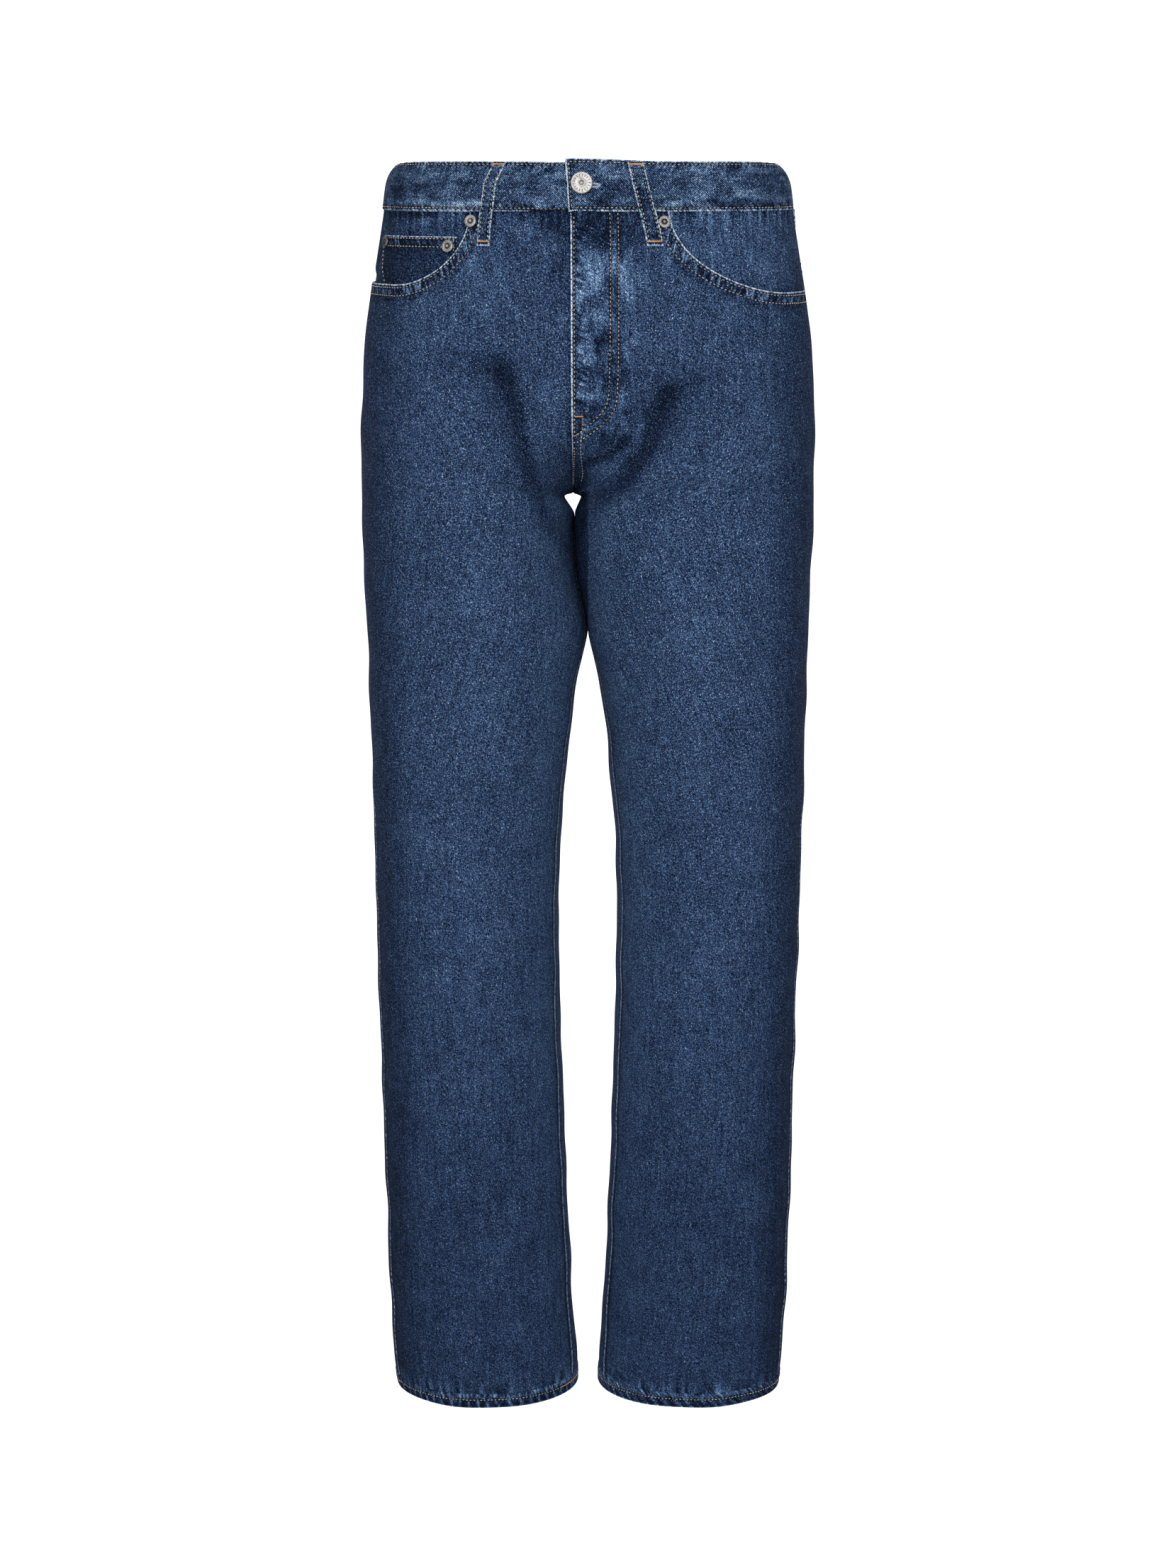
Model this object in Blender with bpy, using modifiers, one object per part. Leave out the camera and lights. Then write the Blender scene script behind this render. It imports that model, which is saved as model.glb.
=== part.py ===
"""Baggy five-pocket jeans, standing open as if worn, in metres.

+Z is up, the front faces -Y, and the origin is the middle of the waist opening,
level with the front of the waistband's top edge. "left" and "right" are the
wearer's: the wearer's left leg is at +X.

Every piece is a wall of cloth laid on one skin, which is worked out from the
garment's own sizes: the torso is one oval, and below the crotch there are two.
"""

import math
from collections import namedtuple

import bmesh
import bpy
import numpy as np
from mathutils import Matrix, Vector

# ---------------------------------------------------------------- driving sizes
DENIM = 0.0014          # one layer of denim
BAND_WALL = 0.0026      # the waistband is two layers
HEM_WALL = 0.0030       # the hem is three
GAP = 0.0003            # between pieces that are sewn together
HALF_GAP = GAP / 2
TOP_GAP = 0.0006         # under the waistband

CROTCH_Z = -0.256       # where the four panels meet
CENTRE_Y = 0.003        # the depth at which the oval sections are widest
HEM_Z = -1.017          # the lowest edge
HEM_HEIGHT = 0.0125
BAND_HEIGHT = 0.0393
SEAM_SIDE_Z = -0.025    # the waist seam's height at the sides
SEAM_FRONT_SLOPE = 0.141  # the seam dips towards the front by this much a metre of depth
SEAM_BACK_SLOPE = 0.090   # and rises towards the back
JOIN_Z = -0.050         # above this height the torso is a single oval
YOKE_CENTRE_DROP = 0.072  # the yoke's height at the centre back and at the side
YOKE_SIDE_DROP = 0.040

Section = namedtuple("Section", "z outer inner front back square")
# Half widths from the middle to the outer and inner side of a leg, depths from the
# middle to the front and back, and how square the oval is (2 is an ellipse).
SECTIONS = (
    Section(0.030, 0.1600, 0.0, 0.0920, 0.0990, 2.35),
    Section(-0.023, 0.1666, 0.0, 0.0970, 0.1020, 2.45),
    Section(-0.062, 0.1728, 0.0, 0.1030, 0.1090, 2.45),
    Section(-0.108, 0.1800, 0.0, 0.1090, 0.1190, 2.40),
    Section(-0.154, 0.1843, 0.0, 0.1130, 0.1280, 2.35),
    Section(-0.200, 0.1861, 0.0, 0.1150, 0.1330, 2.30),
    Section(-0.256, 0.1866, 0.0, 0.1140, 0.1310, 2.30),
    Section(-0.300, 0.1857, 0.0006, 0.1110, 0.1240, 2.30),
    Section(-0.366, 0.1838, 0.0006, 0.1060, 0.1150, 2.30),
    Section(-0.411, 0.1826, 0.0086, 0.1020, 0.1100, 2.25),
    Section(-0.483, 0.1812, 0.0170, 0.0970, 0.1030, 2.20),
    Section(-0.555, 0.1793, 0.0224, 0.0920, 0.0970, 2.20),
    Section(-0.627, 0.1779, 0.0238, 0.0880, 0.0930, 2.20),
    Section(-0.725, 0.1754, 0.0222, 0.0830, 0.0910, 2.20),
    Section(-0.825, 0.1732, 0.0188, 0.0780, 0.0870, 2.20),
    Section(-0.925, 0.1700, 0.0140, 0.0730, 0.0810, 2.20),
    Section(-0.990, 0.1672, 0.0096, 0.0705, 0.0775, 2.10),
    Section(-1.017, 0.1636, 0.0080, 0.0690, 0.0750, 2.02),
)

Seam = namedtuple("Seam", "z inseam out_right out_left shift")
# Angles round a leg, in degrees: 0 is its inner side, 90 its front and 180 its outer
# side. shift is how far the middle of the garment has turned towards -X.
SEAMS = (
    Seam(0.030, 0, 188, 166, 0.0138),
    Seam(-0.100, 0, 186, 170, 0.0134),
    Seam(-0.256, 0, 182, 179, 0.0126),
    Seam(-0.271, 1, 181, 179, 0.0112),
    Seam(-0.320, 4, 180, 178, 0.0085),
    Seam(-0.366, 8, 177, 177, 0.0000),
    Seam(-0.440, 16, 170, 170, 0.0000),
    Seam(-0.560, 19, 162, 162, 0.0000),
    Seam(-0.800, 19, 160, 160, 0.0000),
    Seam(-1.017, 18, 160, 160, 0.0000),
)

Fold = namedtuple("Fold", "face x0 z0 x1 z1 width depth")
# The largest folds, from end to end: face is -1 for the front and 1 for the back,
# and depth is how far the cloth sinks, or stands proud where it is negative.
FOLDS = (
    Fold(-1, -0.022, -0.250, -0.075, -0.165, 0.016, 0.0085),
    Fold(-1, 0.006, -0.250, 0.062, -0.190, 0.016, 0.0085),
    Fold(-1, -0.072, -0.168, -0.108, -0.158, 0.018, 0.0040),
    Fold(-1, 0.060, -0.192, 0.104, -0.168, 0.018, 0.0045),
    Fold(-1, -0.018, -0.290, -0.060, -0.225, 0.013, -0.0035),
    Fold(-1, 0.012, -0.300, 0.052, -0.235, 0.013, -0.0035),
    Fold(-1, -0.128, -0.400, -0.078, -0.530, 0.024, 0.0050),
    Fold(-1, 0.128, -0.400, 0.078, -0.530, 0.024, 0.0050),
    Fold(-1, -0.070, -0.330, -0.100, -0.470, 0.022, -0.0035),
    Fold(-1, 0.070, -0.330, 0.100, -0.470, 0.022, -0.0035),
    Fold(-1, -0.060, -0.780, -0.110, -0.880, 0.022, 0.0030),
    Fold(-1, 0.060, -0.780, 0.110, -0.880, 0.022, 0.0030),
    Fold(1, -0.035, -0.290, -0.115, -0.335, 0.024, 0.0060),
    Fold(1, 0.035, -0.290, 0.115, -0.335, 0.024, 0.0060),
    Fold(1, -0.050, -0.600, -0.140, -0.560, 0.024, 0.0045),
    Fold(1, 0.050, -0.600, 0.140, -0.560, 0.024, 0.0045),
    Fold(1, -0.060, -0.680, -0.135, -0.650, 0.024, 0.0040),
    Fold(1, 0.060, -0.680, 0.135, -0.650, 0.024, 0.0040),
)


# ---------------------------------------------------------------- the skin
def smooth_step(x):
    x = np.clip(x, 0.0, 1.0)
    return x * x * (3 - 2 * x)


def through(table, column):
    """A smooth function of height through one column of a table, which never overshoots."""
    knots = np.array([row.z for row in table])[::-1]
    values = np.array([getattr(row, column) for row in table], float)[::-1]
    rates = np.diff(values) / np.diff(knots)
    both = rates[:-1] * rates[1:]
    total = np.where(both > 0, rates[:-1] + rates[1:], 1.0)
    inner = np.where(both > 0, 2 * both / total, 0.0)
    slopes = np.concatenate([rates[:1], inner, rates[-1:]])

    def at(z):
        z = np.clip(z, knots[0], knots[-1])
        i = np.clip(np.searchsorted(knots, z, side="right") - 1, 0, len(knots) - 2)
        step = knots[i + 1] - knots[i]
        t = (z - knots[i]) / step
        return (
            values[i] * (2 * t**3 - 3 * t**2 + 1)
            + slopes[i] * step * (t**3 - 2 * t**2 + t)
            + values[i + 1] * (3 * t**2 - 2 * t**3)
            + slopes[i + 1] * step * (t**3 - t**2)
        )

    return at


outer_at, front_at, back_at, square_at = (
    through(SECTIONS, name) for name in ("outer", "front", "back", "square")
)
inner_table_at = through(SECTIONS, "inner")
inseam_at, out_right_at, out_left_at, shift_at = (
    through(SEAMS, name) for name in ("inseam", "out_right", "out_left", "shift")
)

ARCH_HALF_WIDTH = 0.0068   # the three-cornered gap right under the crotch
ARCH_RISE = 0.002          # how far down its flat top reaches, and how deep it is
ARCH_DEPTH = 0.015
ARCH_POINT = 1.15          # how straight its sides are
ARCH_GRIP = 8              # how little of the leg's section draws back with it
RISE_POWER = 1.15          # how quickly the two ovals grow into one above the crotch
BRIDGE_FROM = 0.008        # above the crotch the cloth bridges the two thighs
BRIDGE_FULL = 0.075
BRIDGE_BACK = 0.75         # and does so less over the seat
BRIDGE_SAG = 0.6           # what share of the valley's depth is left


def above_crotch(z):
    """0 at the crotch and 1 where the torso has become a single oval."""
    return np.clip((z - CROTCH_Z) / (JOIN_Z - CROTCH_Z), 0.0, 1.0)


def inner_at(z):
    """How far the leg's inner side is from the middle. It is past it above the crotch."""
    return np.where(z > CROTCH_Z, -outer_at(z) * above_crotch(z) ** RISE_POWER, inner_table_at(z))


def centre_at(z):
    """How far the middle of the leg's section is from the middle of the garment."""
    legs = (outer_at(z) + np.where(z > CROTCH_Z, 0.0, inner_table_at(z))) / 2
    return legs * (1 - smooth_step(above_crotch(z)))


def arch_at(z):
    """How far the leg's inner side draws back right under the crotch."""
    below = np.clip(CROTCH_Z - z, 0.0, None)
    opened = np.sqrt(np.clip(below / ARCH_RISE, 0.0, 1.0))
    closed = np.clip((below - ARCH_RISE) / (ARCH_DEPTH - ARCH_RISE), 0.0, 1.0)
    return ARCH_HALF_WIDTH * opened * (1 - closed) ** ARCH_POINT


def middle_angle(z):
    """The angle round the leg at which its section meets the middle of the garment."""
    centre, square = centre_at(z), square_at(z)
    share = np.clip(centre / (centre - inner_at(z)), 1e-6, 1.0) ** square
    return np.where(z > CROTCH_Z, np.arctan(((1 - share) / share) ** (1 / square)), 0.0)


def oval(angle, z):
    """The section's point at an angle, for the leg at +X, before the garment's turn."""
    centre, square = centre_at(z), square_at(z)
    cosine, sine = np.cos(angle), np.sin(angle)
    reach = (np.abs(cosine) ** square + np.abs(sine) ** square) ** (-1 / square)
    radius = np.where(cosine > 0, centre - inner_at(z), outer_at(z) - centre)
    x = centre - radius * cosine * reach + arch_at(z) * np.clip(cosine, 0.0, 1.0) ** ARCH_GRIP
    in_front = sine > 0
    depth = np.where(in_front, front_at(z), back_at(z))
    y = sine * reach
    # Between the thighs the cloth spans the valley, more so the higher it is.
    strength = smooth_step((z - CROTCH_Z - BRIDGE_FROM) / (BRIDGE_FULL - BRIDGE_FROM))
    strength = strength * np.where(in_front, 1.0, BRIDGE_BACK)
    valley = np.where((cosine > 0) & (z > CROTCH_Z), strength, 0.0)
    inward = smooth_step(1 - x / np.maximum(centre, 1e-6))
    middle = middle_angle(z)
    low = np.sin(middle) * (np.cos(middle) ** square + np.sin(middle) ** square) ** (-1 / square)
    spanned = np.sign(y) * (1 - inward * (1 - low) * BRIDGE_SAG)
    y = y * (1 - valley) + spanned * valley
    return x, CENTRE_Y - y * depth


def seam_height(angle):
    """The height of the waist seam at an angle."""
    z = np.full(np.shape(angle), SEAM_SIDE_Z)
    for _ in range(3):
        y = oval(angle, z)[1]
        z = SEAM_SIDE_Z + np.where(y < 0, SEAM_FRONT_SLOPE, SEAM_BACK_SLOPE) * y
    return z


BAND_LEAN = math.radians(6)        # the waistband leans in a little all round
BAND_ROLL = math.radians(66)       # and its top rolls in at the two sides
BAND_ROLL_POWER = 2.2
ROLL_START = 0.12                  # how far round to the side the roll starts
BAND_STEPS = 8
CONTACT_SLOPE = 0.10               # the thighs touch on a plane that is a little askew
CONTACT_REACH = 0.035
CONTACT_DEPTH = 0.03
CONTACT_TOP_Z = -0.270
CONTACT_TOP_EASE = 0.012
CONTACT_FOOT_Z = -0.395
CONTACT_FOOT_EASE = 0.035


ANGLE_STEP = 1e-4                  # for measuring directions on the skin
HEIGHT_STEP = 3e-4


def turned(x, y, z):
    """Turns the middle of the garment towards -X, leaving its sides where they are."""
    share = np.clip(np.abs(x) / outer_at(z), 0.0, 1.0)
    x = x - shift_at(z) * (1 - share**2) ** 2
    below_top = smooth_step((CONTACT_TOP_Z - z) / CONTACT_TOP_EASE)
    zone = below_top * smooth_step((z - CONTACT_FOOT_Z) / CONTACT_FOOT_EASE)
    near = np.exp(-(((x + shift_at(z)) / CONTACT_REACH) ** 2))
    askew = CONTACT_DEPTH * np.tanh((y - CENTRE_Y) / CONTACT_DEPTH)
    return x + CONTACT_SLOPE * zone * near * askew


def bare_point(side, angle, z):
    """The skin's point, with no folds. Heights above the waist seam run up the waistband."""
    seam = seam_height(angle)
    up = np.clip(z - seam, 0.0, None)
    level = np.minimum(z, seam)
    x, y = oval(angle, level)
    x1, y1 = oval(angle + ANGLE_STEP, level)
    x0, y0 = oval(angle - ANGLE_STEP, level)
    along_x, along_y = x1 - x0, y1 - y0
    length = np.maximum(np.hypot(along_x, along_y), 1e-12)
    out_x, out_y = -along_y / length, along_x / length
    facing = np.sign(out_x * x + out_y * (y - CENTRE_Y))
    out_x, out_y = out_x * facing, out_y * facing
    depth = np.where(y < CENTRE_Y, front_at(level), back_at(level))
    sideways = smooth_step((1 - np.abs(y - CENTRE_Y) / depth - ROLL_START) / (1 - ROLL_START))
    inward, rise = 0.0, 0.0
    for k in range(BAND_STEPS):
        share = up * (k + 0.5) / BAND_STEPS / BAND_HEIGHT
        lean = BAND_LEAN + BAND_ROLL * sideways * share**BAND_ROLL_POWER
        inward = inward + np.sin(lean) * up / BAND_STEPS
        rise = rise + np.cos(lean) * up / BAND_STEPS
    x, y = side * (x - out_x * inward), y - out_y * inward
    return np.stack([turned(x, y, level), y, level + rise], axis=-1)


def skin_normal(side, angle, z):
    """The outward direction of the bare skin."""
    turn = 10 * ANGLE_STEP
    round_it = bare_point(side, angle + turn, z) - bare_point(side, angle - turn, z)
    up_it = bare_point(side, angle, z + HEIGHT_STEP) - bare_point(side, angle, z - HEIGHT_STEP)
    normal = np.cross(round_it, up_it) * side[..., None]
    return normal / np.maximum(np.linalg.norm(normal, axis=-1, keepdims=True), 1e-12)


def fold_height(point, normal):
    """How far the folds push the cloth out at a point of the skin."""
    height = np.zeros(point.shape[:-1])
    x, z = point[..., 0], point[..., 2]
    for fold in FOLDS:
        start, end = np.array([fold.x0, fold.z0]), np.array([fold.x1, fold.z1])
        run = end - start
        along = ((x - start[0]) * run[0] + (z - start[1]) * run[1]) / (run @ run)
        near = np.clip(along, 0.0, 1.0)
        away = np.hypot(x - start[0] - near * run[0], z - start[1] - near * run[1])
        facing = np.clip(fold.face * normal[..., 1], 0.0, 1.0)
        height -= fold.depth * facing * np.exp(-((away / fold.width) ** 2))
    return height


SEAM_CALM = 0.012         # near the middle seam folds don't move the cloth sideways


def skin(side, angle, z, lift=0.0, rise=0.0):
    """The garment's outer face at an angle and height, moved out by lift, with folds and rise."""
    side, angle, z, lift, rise = np.broadcast_arrays(
        *(np.asarray(value, float) for value in (side, angle, z, lift, rise))
    )
    point, normal = bare_point(side, angle, z), skin_normal(side, angle, z)
    # A fold that crosses the middle seam moves both sides of it the same way.
    from_middle = np.abs(point[..., 0] + shift_at(point[..., 2]))
    apart = np.where(z > CROTCH_Z, smooth_step(from_middle / SEAM_CALM), 1.0)
    push = normal * np.stack([apart, np.ones_like(z), np.ones_like(z)], axis=-1)
    raised = fold_height(point, normal) + rise
    return point + normal * lift[..., None] + push * raised[..., None]


# ---------------------------------------------------------------- places on the skin
SAMPLES = 80


def spread(start, end, share, z):
    """The angle that lies a share of the way from start to end, measured along the cloth."""
    steps = np.linspace(0.0, 1.0, SAMPLES)
    angles = start[..., None] + (end - start)[..., None] * steps
    x, y = oval(angles, z[..., None] + 0 * angles)
    lengths = np.hypot(np.diff(x, axis=-1), np.diff(y, axis=-1))
    run = np.concatenate([np.zeros(x.shape[:-1] + (1,)), np.cumsum(lengths, axis=-1)], -1)
    wanted = share * run[..., -1]
    i = np.clip((run <= wanted[..., None]).sum(-1) - 1, 0, SAMPLES - 2)[..., None]
    low = np.take_along_axis(run, i, -1)[..., 0]
    high = np.take_along_axis(run, i + 1, -1)[..., 0]
    part = (i[..., 0] + (wanted - low) / np.maximum(high - low, 1e-12)) / (SAMPLES - 1)
    return start + (end - start) * part, run[..., -1]


def panel_edges(side, z, back):
    """The angles at which a panel starts, at the middle or the inseam, and ends."""
    inseam = np.radians(inseam_at(z))
    out = np.radians(out_left_at(z) if side > 0 else out_right_at(z))
    middle = middle_angle(z)
    if back:
        return np.where(z > CROTCH_Z, -middle, inseam), out - 2 * math.pi
    return np.where(z > CROTCH_Z, middle, inseam), out


def on_panel(side, share, z, back=False, trim=HALF_GAP):
    """The angle a share of the way across a panel, which stops a little short of its seams."""
    start, end = panel_edges(side, z, back)
    length = spread(start, end, np.ones_like(z), z)[1]
    return spread(start, end, (trim + share * (length - 2 * trim)) / length, z)[0]


def on_face(across, z, back=False):
    """The angle at a distance across the cloth from the middle of the front or back."""
    turn = -1.0 if back else 1.0
    start, end = turn * middle_angle(z), np.full(np.shape(z), turn * 1.2 * math.pi)
    length = spread(start, end, np.ones_like(z), z)[1]
    return spread(start, end, np.abs(across) / length, z)[0]


RING_Z = -0.030


def half_waist(share=1.0):
    """The angle a share of the way from the middle of the front to that of the back, and the length."""
    share = np.asarray(share, float)
    start, z = np.full(share.shape, math.pi / 2), np.full(share.shape, RING_Z)
    return spread(start, start + math.pi, share, z)


def round_waist(arc):
    """The side and angle at a distance round the waist, from the middle of the front to +X."""
    half = float(half_waist()[1])
    wrapped = np.mod(arc, 2 * half)
    left = wrapped <= half
    return np.where(left, 1.0, -1.0), half_waist(np.where(left, wrapped, 2 * half - wrapped) / half)[0]


# ---------------------------------------------------------------- making cloth
SHARP_ANGLE = math.radians(50)
TUBE_WALL = 0.5
COLOURS = {
    "denim": (0.055, 0.105, 0.215, 1.0),
    "metal": (0.62, 0.60, 0.57, 1.0),
}


def start_scene():
    for item in list(bpy.data.objects):
        bpy.data.objects.remove(item, do_unlink=True)
    collection = bpy.data.collections.new("Baggy jeans")
    bpy.context.scene.collection.children.link(collection)
    return collection


def material(name, roughness, metallic):
    made = bpy.data.materials.new(name)
    made.use_nodes = True
    shader = made.node_tree.nodes["Principled BSDF"]
    shader.inputs["Base Color"].default_value = COLOURS[name]
    shader.inputs["Roughness"].default_value = roughness
    shader.inputs["Metallic"].default_value = metallic
    return made


def finish(name, stuff):
    """Names the active object, gives it its material and moves it to the garment's collection."""
    piece = bpy.context.object
    piece.name = piece.data.name = name
    piece.data.materials.append(stuff)
    for holder in list(piece.users_collection):
        holder.objects.unlink(piece)
    JEANS.objects.link(piece)
    piece.data.shade_smooth()
    piece.data.set_sharp_from_angle(angle=SHARP_ANGLE)
    return piece


def applied_wall(piece):
    """Gives the flat cut its second face, one unit below the first."""
    wall = piece.modifiers.new("wall", "SOLIDIFY")
    wall.thickness = 1.0
    wall.offset = -1.0
    wall.use_even_offset = False
    bpy.ops.object.modifier_apply(modifier="wall")


def cloth(name, columns, rows, place, stuff=None):
    """A flat cut of columns by rows, laid on the garment by place(share across, share down, depth)."""
    bpy.ops.mesh.primitive_grid_add(x_subdivisions=columns, y_subdivisions=rows, size=2)
    piece = bpy.context.object
    applied_wall(piece)
    flat = np.array([v.co for v in piece.data.vertices], float)
    across, down, depth = (flat[:, 0] + 1) / 2, (1 - flat[:, 1]) / 2, -flat[:, 2]
    points = place(across, down, depth)
    for vertex, point in zip(piece.data.vertices, points):
        vertex.co = point
    return face_out(finish(name, stuff or DENIM_STUFF))


def tube(name, columns, place, stuff=None):
    """An open tube laid round a leg by place(share round, share down, depth)."""
    bpy.ops.mesh.primitive_cylinder_add(
        vertices=columns, radius=1.0, depth=1.0, end_fill_type="NOTHING"
    )
    piece = bpy.context.object
    wall = piece.modifiers.new("wall", "SOLIDIFY")
    wall.thickness = TUBE_WALL
    bpy.ops.object.modifier_apply(modifier="wall")
    flat = np.array([v.co for v in piece.data.vertices], float)
    round_it = np.arctan2(flat[:, 1], flat[:, 0]) / (2 * math.pi) % 1.0
    depth = (np.hypot(flat[:, 0], flat[:, 1]) < 1 - TUBE_WALL / 2).astype(float)
    points = place(round_it, (flat[:, 2] < 0).astype(float), depth)
    for vertex, point in zip(piece.data.vertices, points):
        vertex.co = point
    return face_out(finish(name, stuff or DENIM_STUFF))


def face_out(piece):
    """Turns a closed wall's faces to point outwards."""
    shape = bmesh.new()
    shape.from_mesh(piece.data)
    bmesh.ops.recalc_face_normals(shape, faces=shape.faces)
    if shape.calc_volume(signed=True) < 0:
        bmesh.ops.reverse_faces(shape, faces=shape.faces)
    shape.to_mesh(piece.data)
    shape.free()
    return piece


# ---------------------------------------------------------------- panels
Mouth = namedtuple("Mouth", "start reach drop")
# A front pocket's mouth, as shares across the panel: where it starts on the waist
# seam, where its scoop levels out, and how far below the seam that is.
MOUTHS = {1: Mouth(0.365, 0.786, 0.0634), -1: Mouth(0.365, 0.653, 0.0572)}
MOUTH_COLUMNS = (
    0, 0.10, 0.20, 0.29, 0.350, 0.366, 0.381, 0.410, 0.46, 0.52, 0.59, 0.67, 0.75, 0.83, 0.915, 1,
)
LEG_CROWDING = 1.15       # lower down the columns stand a little closer by the inseam
PANEL_RELAX_Z = -0.170    # rows bend to meet the top edge only above this height


def mouth_drop(side, share):
    """How far below the waist seam a pocket's mouth lies, at a share across the panel."""
    mouth = MOUTHS[side]
    left = np.clip((mouth.reach - share) / (mouth.reach - mouth.start), 0.0, 1.0)
    return mouth.drop * np.sqrt(1 - left**2)


def stepped(top, *runs):
    """Heights from the top down: each run is (lowest height, how many steps)."""
    heights = [top]
    for lowest, count in runs:
        heights += list(np.linspace(heights[-1], lowest, count + 1)[1:])
    return np.array(heights)


PANEL_TOP_Z = -0.040
LEG_END_Z = HEM_Z + HEM_HEIGHT + GAP
PANEL_HEIGHTS = stepped(
    PANEL_TOP_Z, (-0.170, 6), (-0.230, 4), (CROTCH_Z + 0.0001, 3), (-0.259, 1), (-0.272, 2),
    (-0.300, 2), (-0.400, 4), (-0.640, 7), (-0.985, 6), (LEG_END_Z, 1),
)


def draw(z):
    """How much of the way a height is from where the rows are level to the top edge."""
    return np.clip((z - PANEL_RELAX_Z) / (PANEL_TOP_Z - PANEL_RELAX_Z), 0.0, 1.0)


def row_height(down, top):
    """The height of a row, with the upper rows drawn up or down to meet the top edge."""
    z = np.interp(down * (len(PANEL_HEIGHTS) - 1), np.arange(len(PANEL_HEIGHTS)), PANEL_HEIGHTS)
    return np.where(z > PANEL_RELAX_Z, PANEL_RELAX_Z + draw(z) * (top - PANEL_RELAX_Z), z)


FLY_EDGE_RISE = 0.0017    # how far the fly's edge stands proud,
FLY_EDGE_FLAT = 0.006     # over how wide a strip,
FLY_EDGE_WIDTH = 0.034    # and how wide the slope beside it is
FLY_FOOT = 0.004          # it lies flat again this far above the crotch
FLY_FOOT_EASE = 0.03


def fly_rise(side, across, z):
    """The wearer's left front lies over the right one, so its edge stands proud."""
    if side < 0:
        return 0.0 * across
    length = smooth_step((z - CROTCH_Z - FLY_FOOT) / FLY_FOOT_EASE)
    return FLY_EDGE_RISE * length * (1 - smooth_step((across - FLY_EDGE_FLAT) / FLY_EDGE_WIDTH))


def across_panel(side, angle, z, back=False):
    """How far across the cloth an angle is from the panel's inner edge."""
    start = panel_edges(side, z, back)[0]
    return spread(start, angle, np.ones_like(z), z)[1]


def front_panel(name, side):
    columns = len(MOUTH_COLUMNS) - 1

    def place(across, down, depth):
        upper = np.interp(across * columns, np.arange(columns + 1), MOUTH_COLUMNS)
        level = on_panel(side, upper, np.full_like(upper, PANEL_TOP_Z))
        z = row_height(down, seam_height(level) - TOP_GAP - mouth_drop(side, upper))
        high = row_height(down, np.full_like(down, PANEL_TOP_Z))
        share = across**LEG_CROWDING + draw(high) * (upper - across**LEG_CROWDING)
        angle = on_panel(side, share, z)
        rise = fly_rise(side, across_panel(side, angle, z), z)
        return skin(side, angle, z, -depth * DENIM, rise)

    return cloth(name, columns, len(PANEL_HEIGHTS) - 1, place)


def yoke_drop(share):
    """How far below the waist seam the yoke ends, at a share across the back."""
    return YOKE_CENTRE_DROP + (YOKE_SIDE_DROP - YOKE_CENTRE_DROP) * share


BACK_COLUMNS = 13
YOKE_ROWS = 4


def back_panel(name, side):
    def place(across, down, depth):
        level = on_panel(side, across, np.full_like(across, RING_Z), back=True)
        z = row_height(down, seam_height(level) - yoke_drop(across) - GAP)
        high = row_height(down, np.full_like(down, PANEL_TOP_Z))
        share = across**LEG_CROWDING + draw(high) * (across - across**LEG_CROWDING)
        return skin(side, on_panel(side, share, z, back=True), z, -depth * DENIM)

    return cloth(name, BACK_COLUMNS, len(PANEL_HEIGHTS) - 1, place)


def yoke(name, side):
    def place(across, down, depth):
        level = on_panel(side, across, np.full_like(across, RING_Z), back=True)
        z = seam_height(level) - TOP_GAP - down * (yoke_drop(across) - TOP_GAP)
        return skin(side, on_panel(side, across, z, back=True), z, -depth * DENIM)

    return cloth(name, BACK_COLUMNS, YOKE_ROWS, place)


HEM_PROUD = 0.0006
HEM_COLUMNS = 44


def hem(name, side):
    """The turned-up hem, a ring that stands a little proud of the leg."""
    def place(round_it, down, depth):
        angle = 2 * math.pi * round_it - math.pi
        z = HEM_Z + HEM_HEIGHT * (1 - down)
        return skin(side, angle, z, HEM_PROUD - depth * HEM_WALL)

    return tube(name, HEM_COLUMNS, place)


# ---------------------------------------------------------------- waistband
BAND_PROUD = 0.0006
OVERLAP_TOP = -0.0043     # where the wearer's left end stops, past the middle of the front
OVERLAP_FOOT = -0.0015
OVERLAP_RISE = 0.0020     # that end also sits a little higher than the end beneath it
OVERLAP_LIFT = 0.0012     # and stands further out
OVERLAP_FLAT = 0.004
OVERLAP_EASE = 0.075
UNDERLAP = 0.036          # how far the other end runs on beneath it
UNDERLAP_SINK = 0.0022
UNDERLAP_START = 0.045    # where it starts to sink, before it has gone all the way round
BAND_COLUMNS = 62
BAND_ROWS = 3


def waistband(name):
    whole = 2 * float(half_waist()[1])

    def place(across, down, depth):
        up = BAND_HEIGHT * (1 - down)
        first = OVERLAP_FOOT + (OVERLAP_TOP - OVERLAP_FOOT) * (1 - down)
        arc = first + across * (whole + UNDERLAP - first)
        side, angle = round_waist(arc)
        over = 1 - smooth_step((arc - OVERLAP_FLAT) / OVERLAP_EASE)
        under = smooth_step((arc - whole + UNDERLAP_START) / UNDERLAP)
        lift = BAND_PROUD + OVERLAP_LIFT * over - UNDERLAP_SINK * under
        z = seam_height(angle) + up + OVERLAP_RISE * over * (1 - down)
        return skin(side, angle, z, lift - depth * BAND_WALL)

    return cloth(name, BAND_COLUMNS, BAND_ROWS, place)


Loop = namedtuple("Loop", "name side back width top middle foot")
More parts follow.
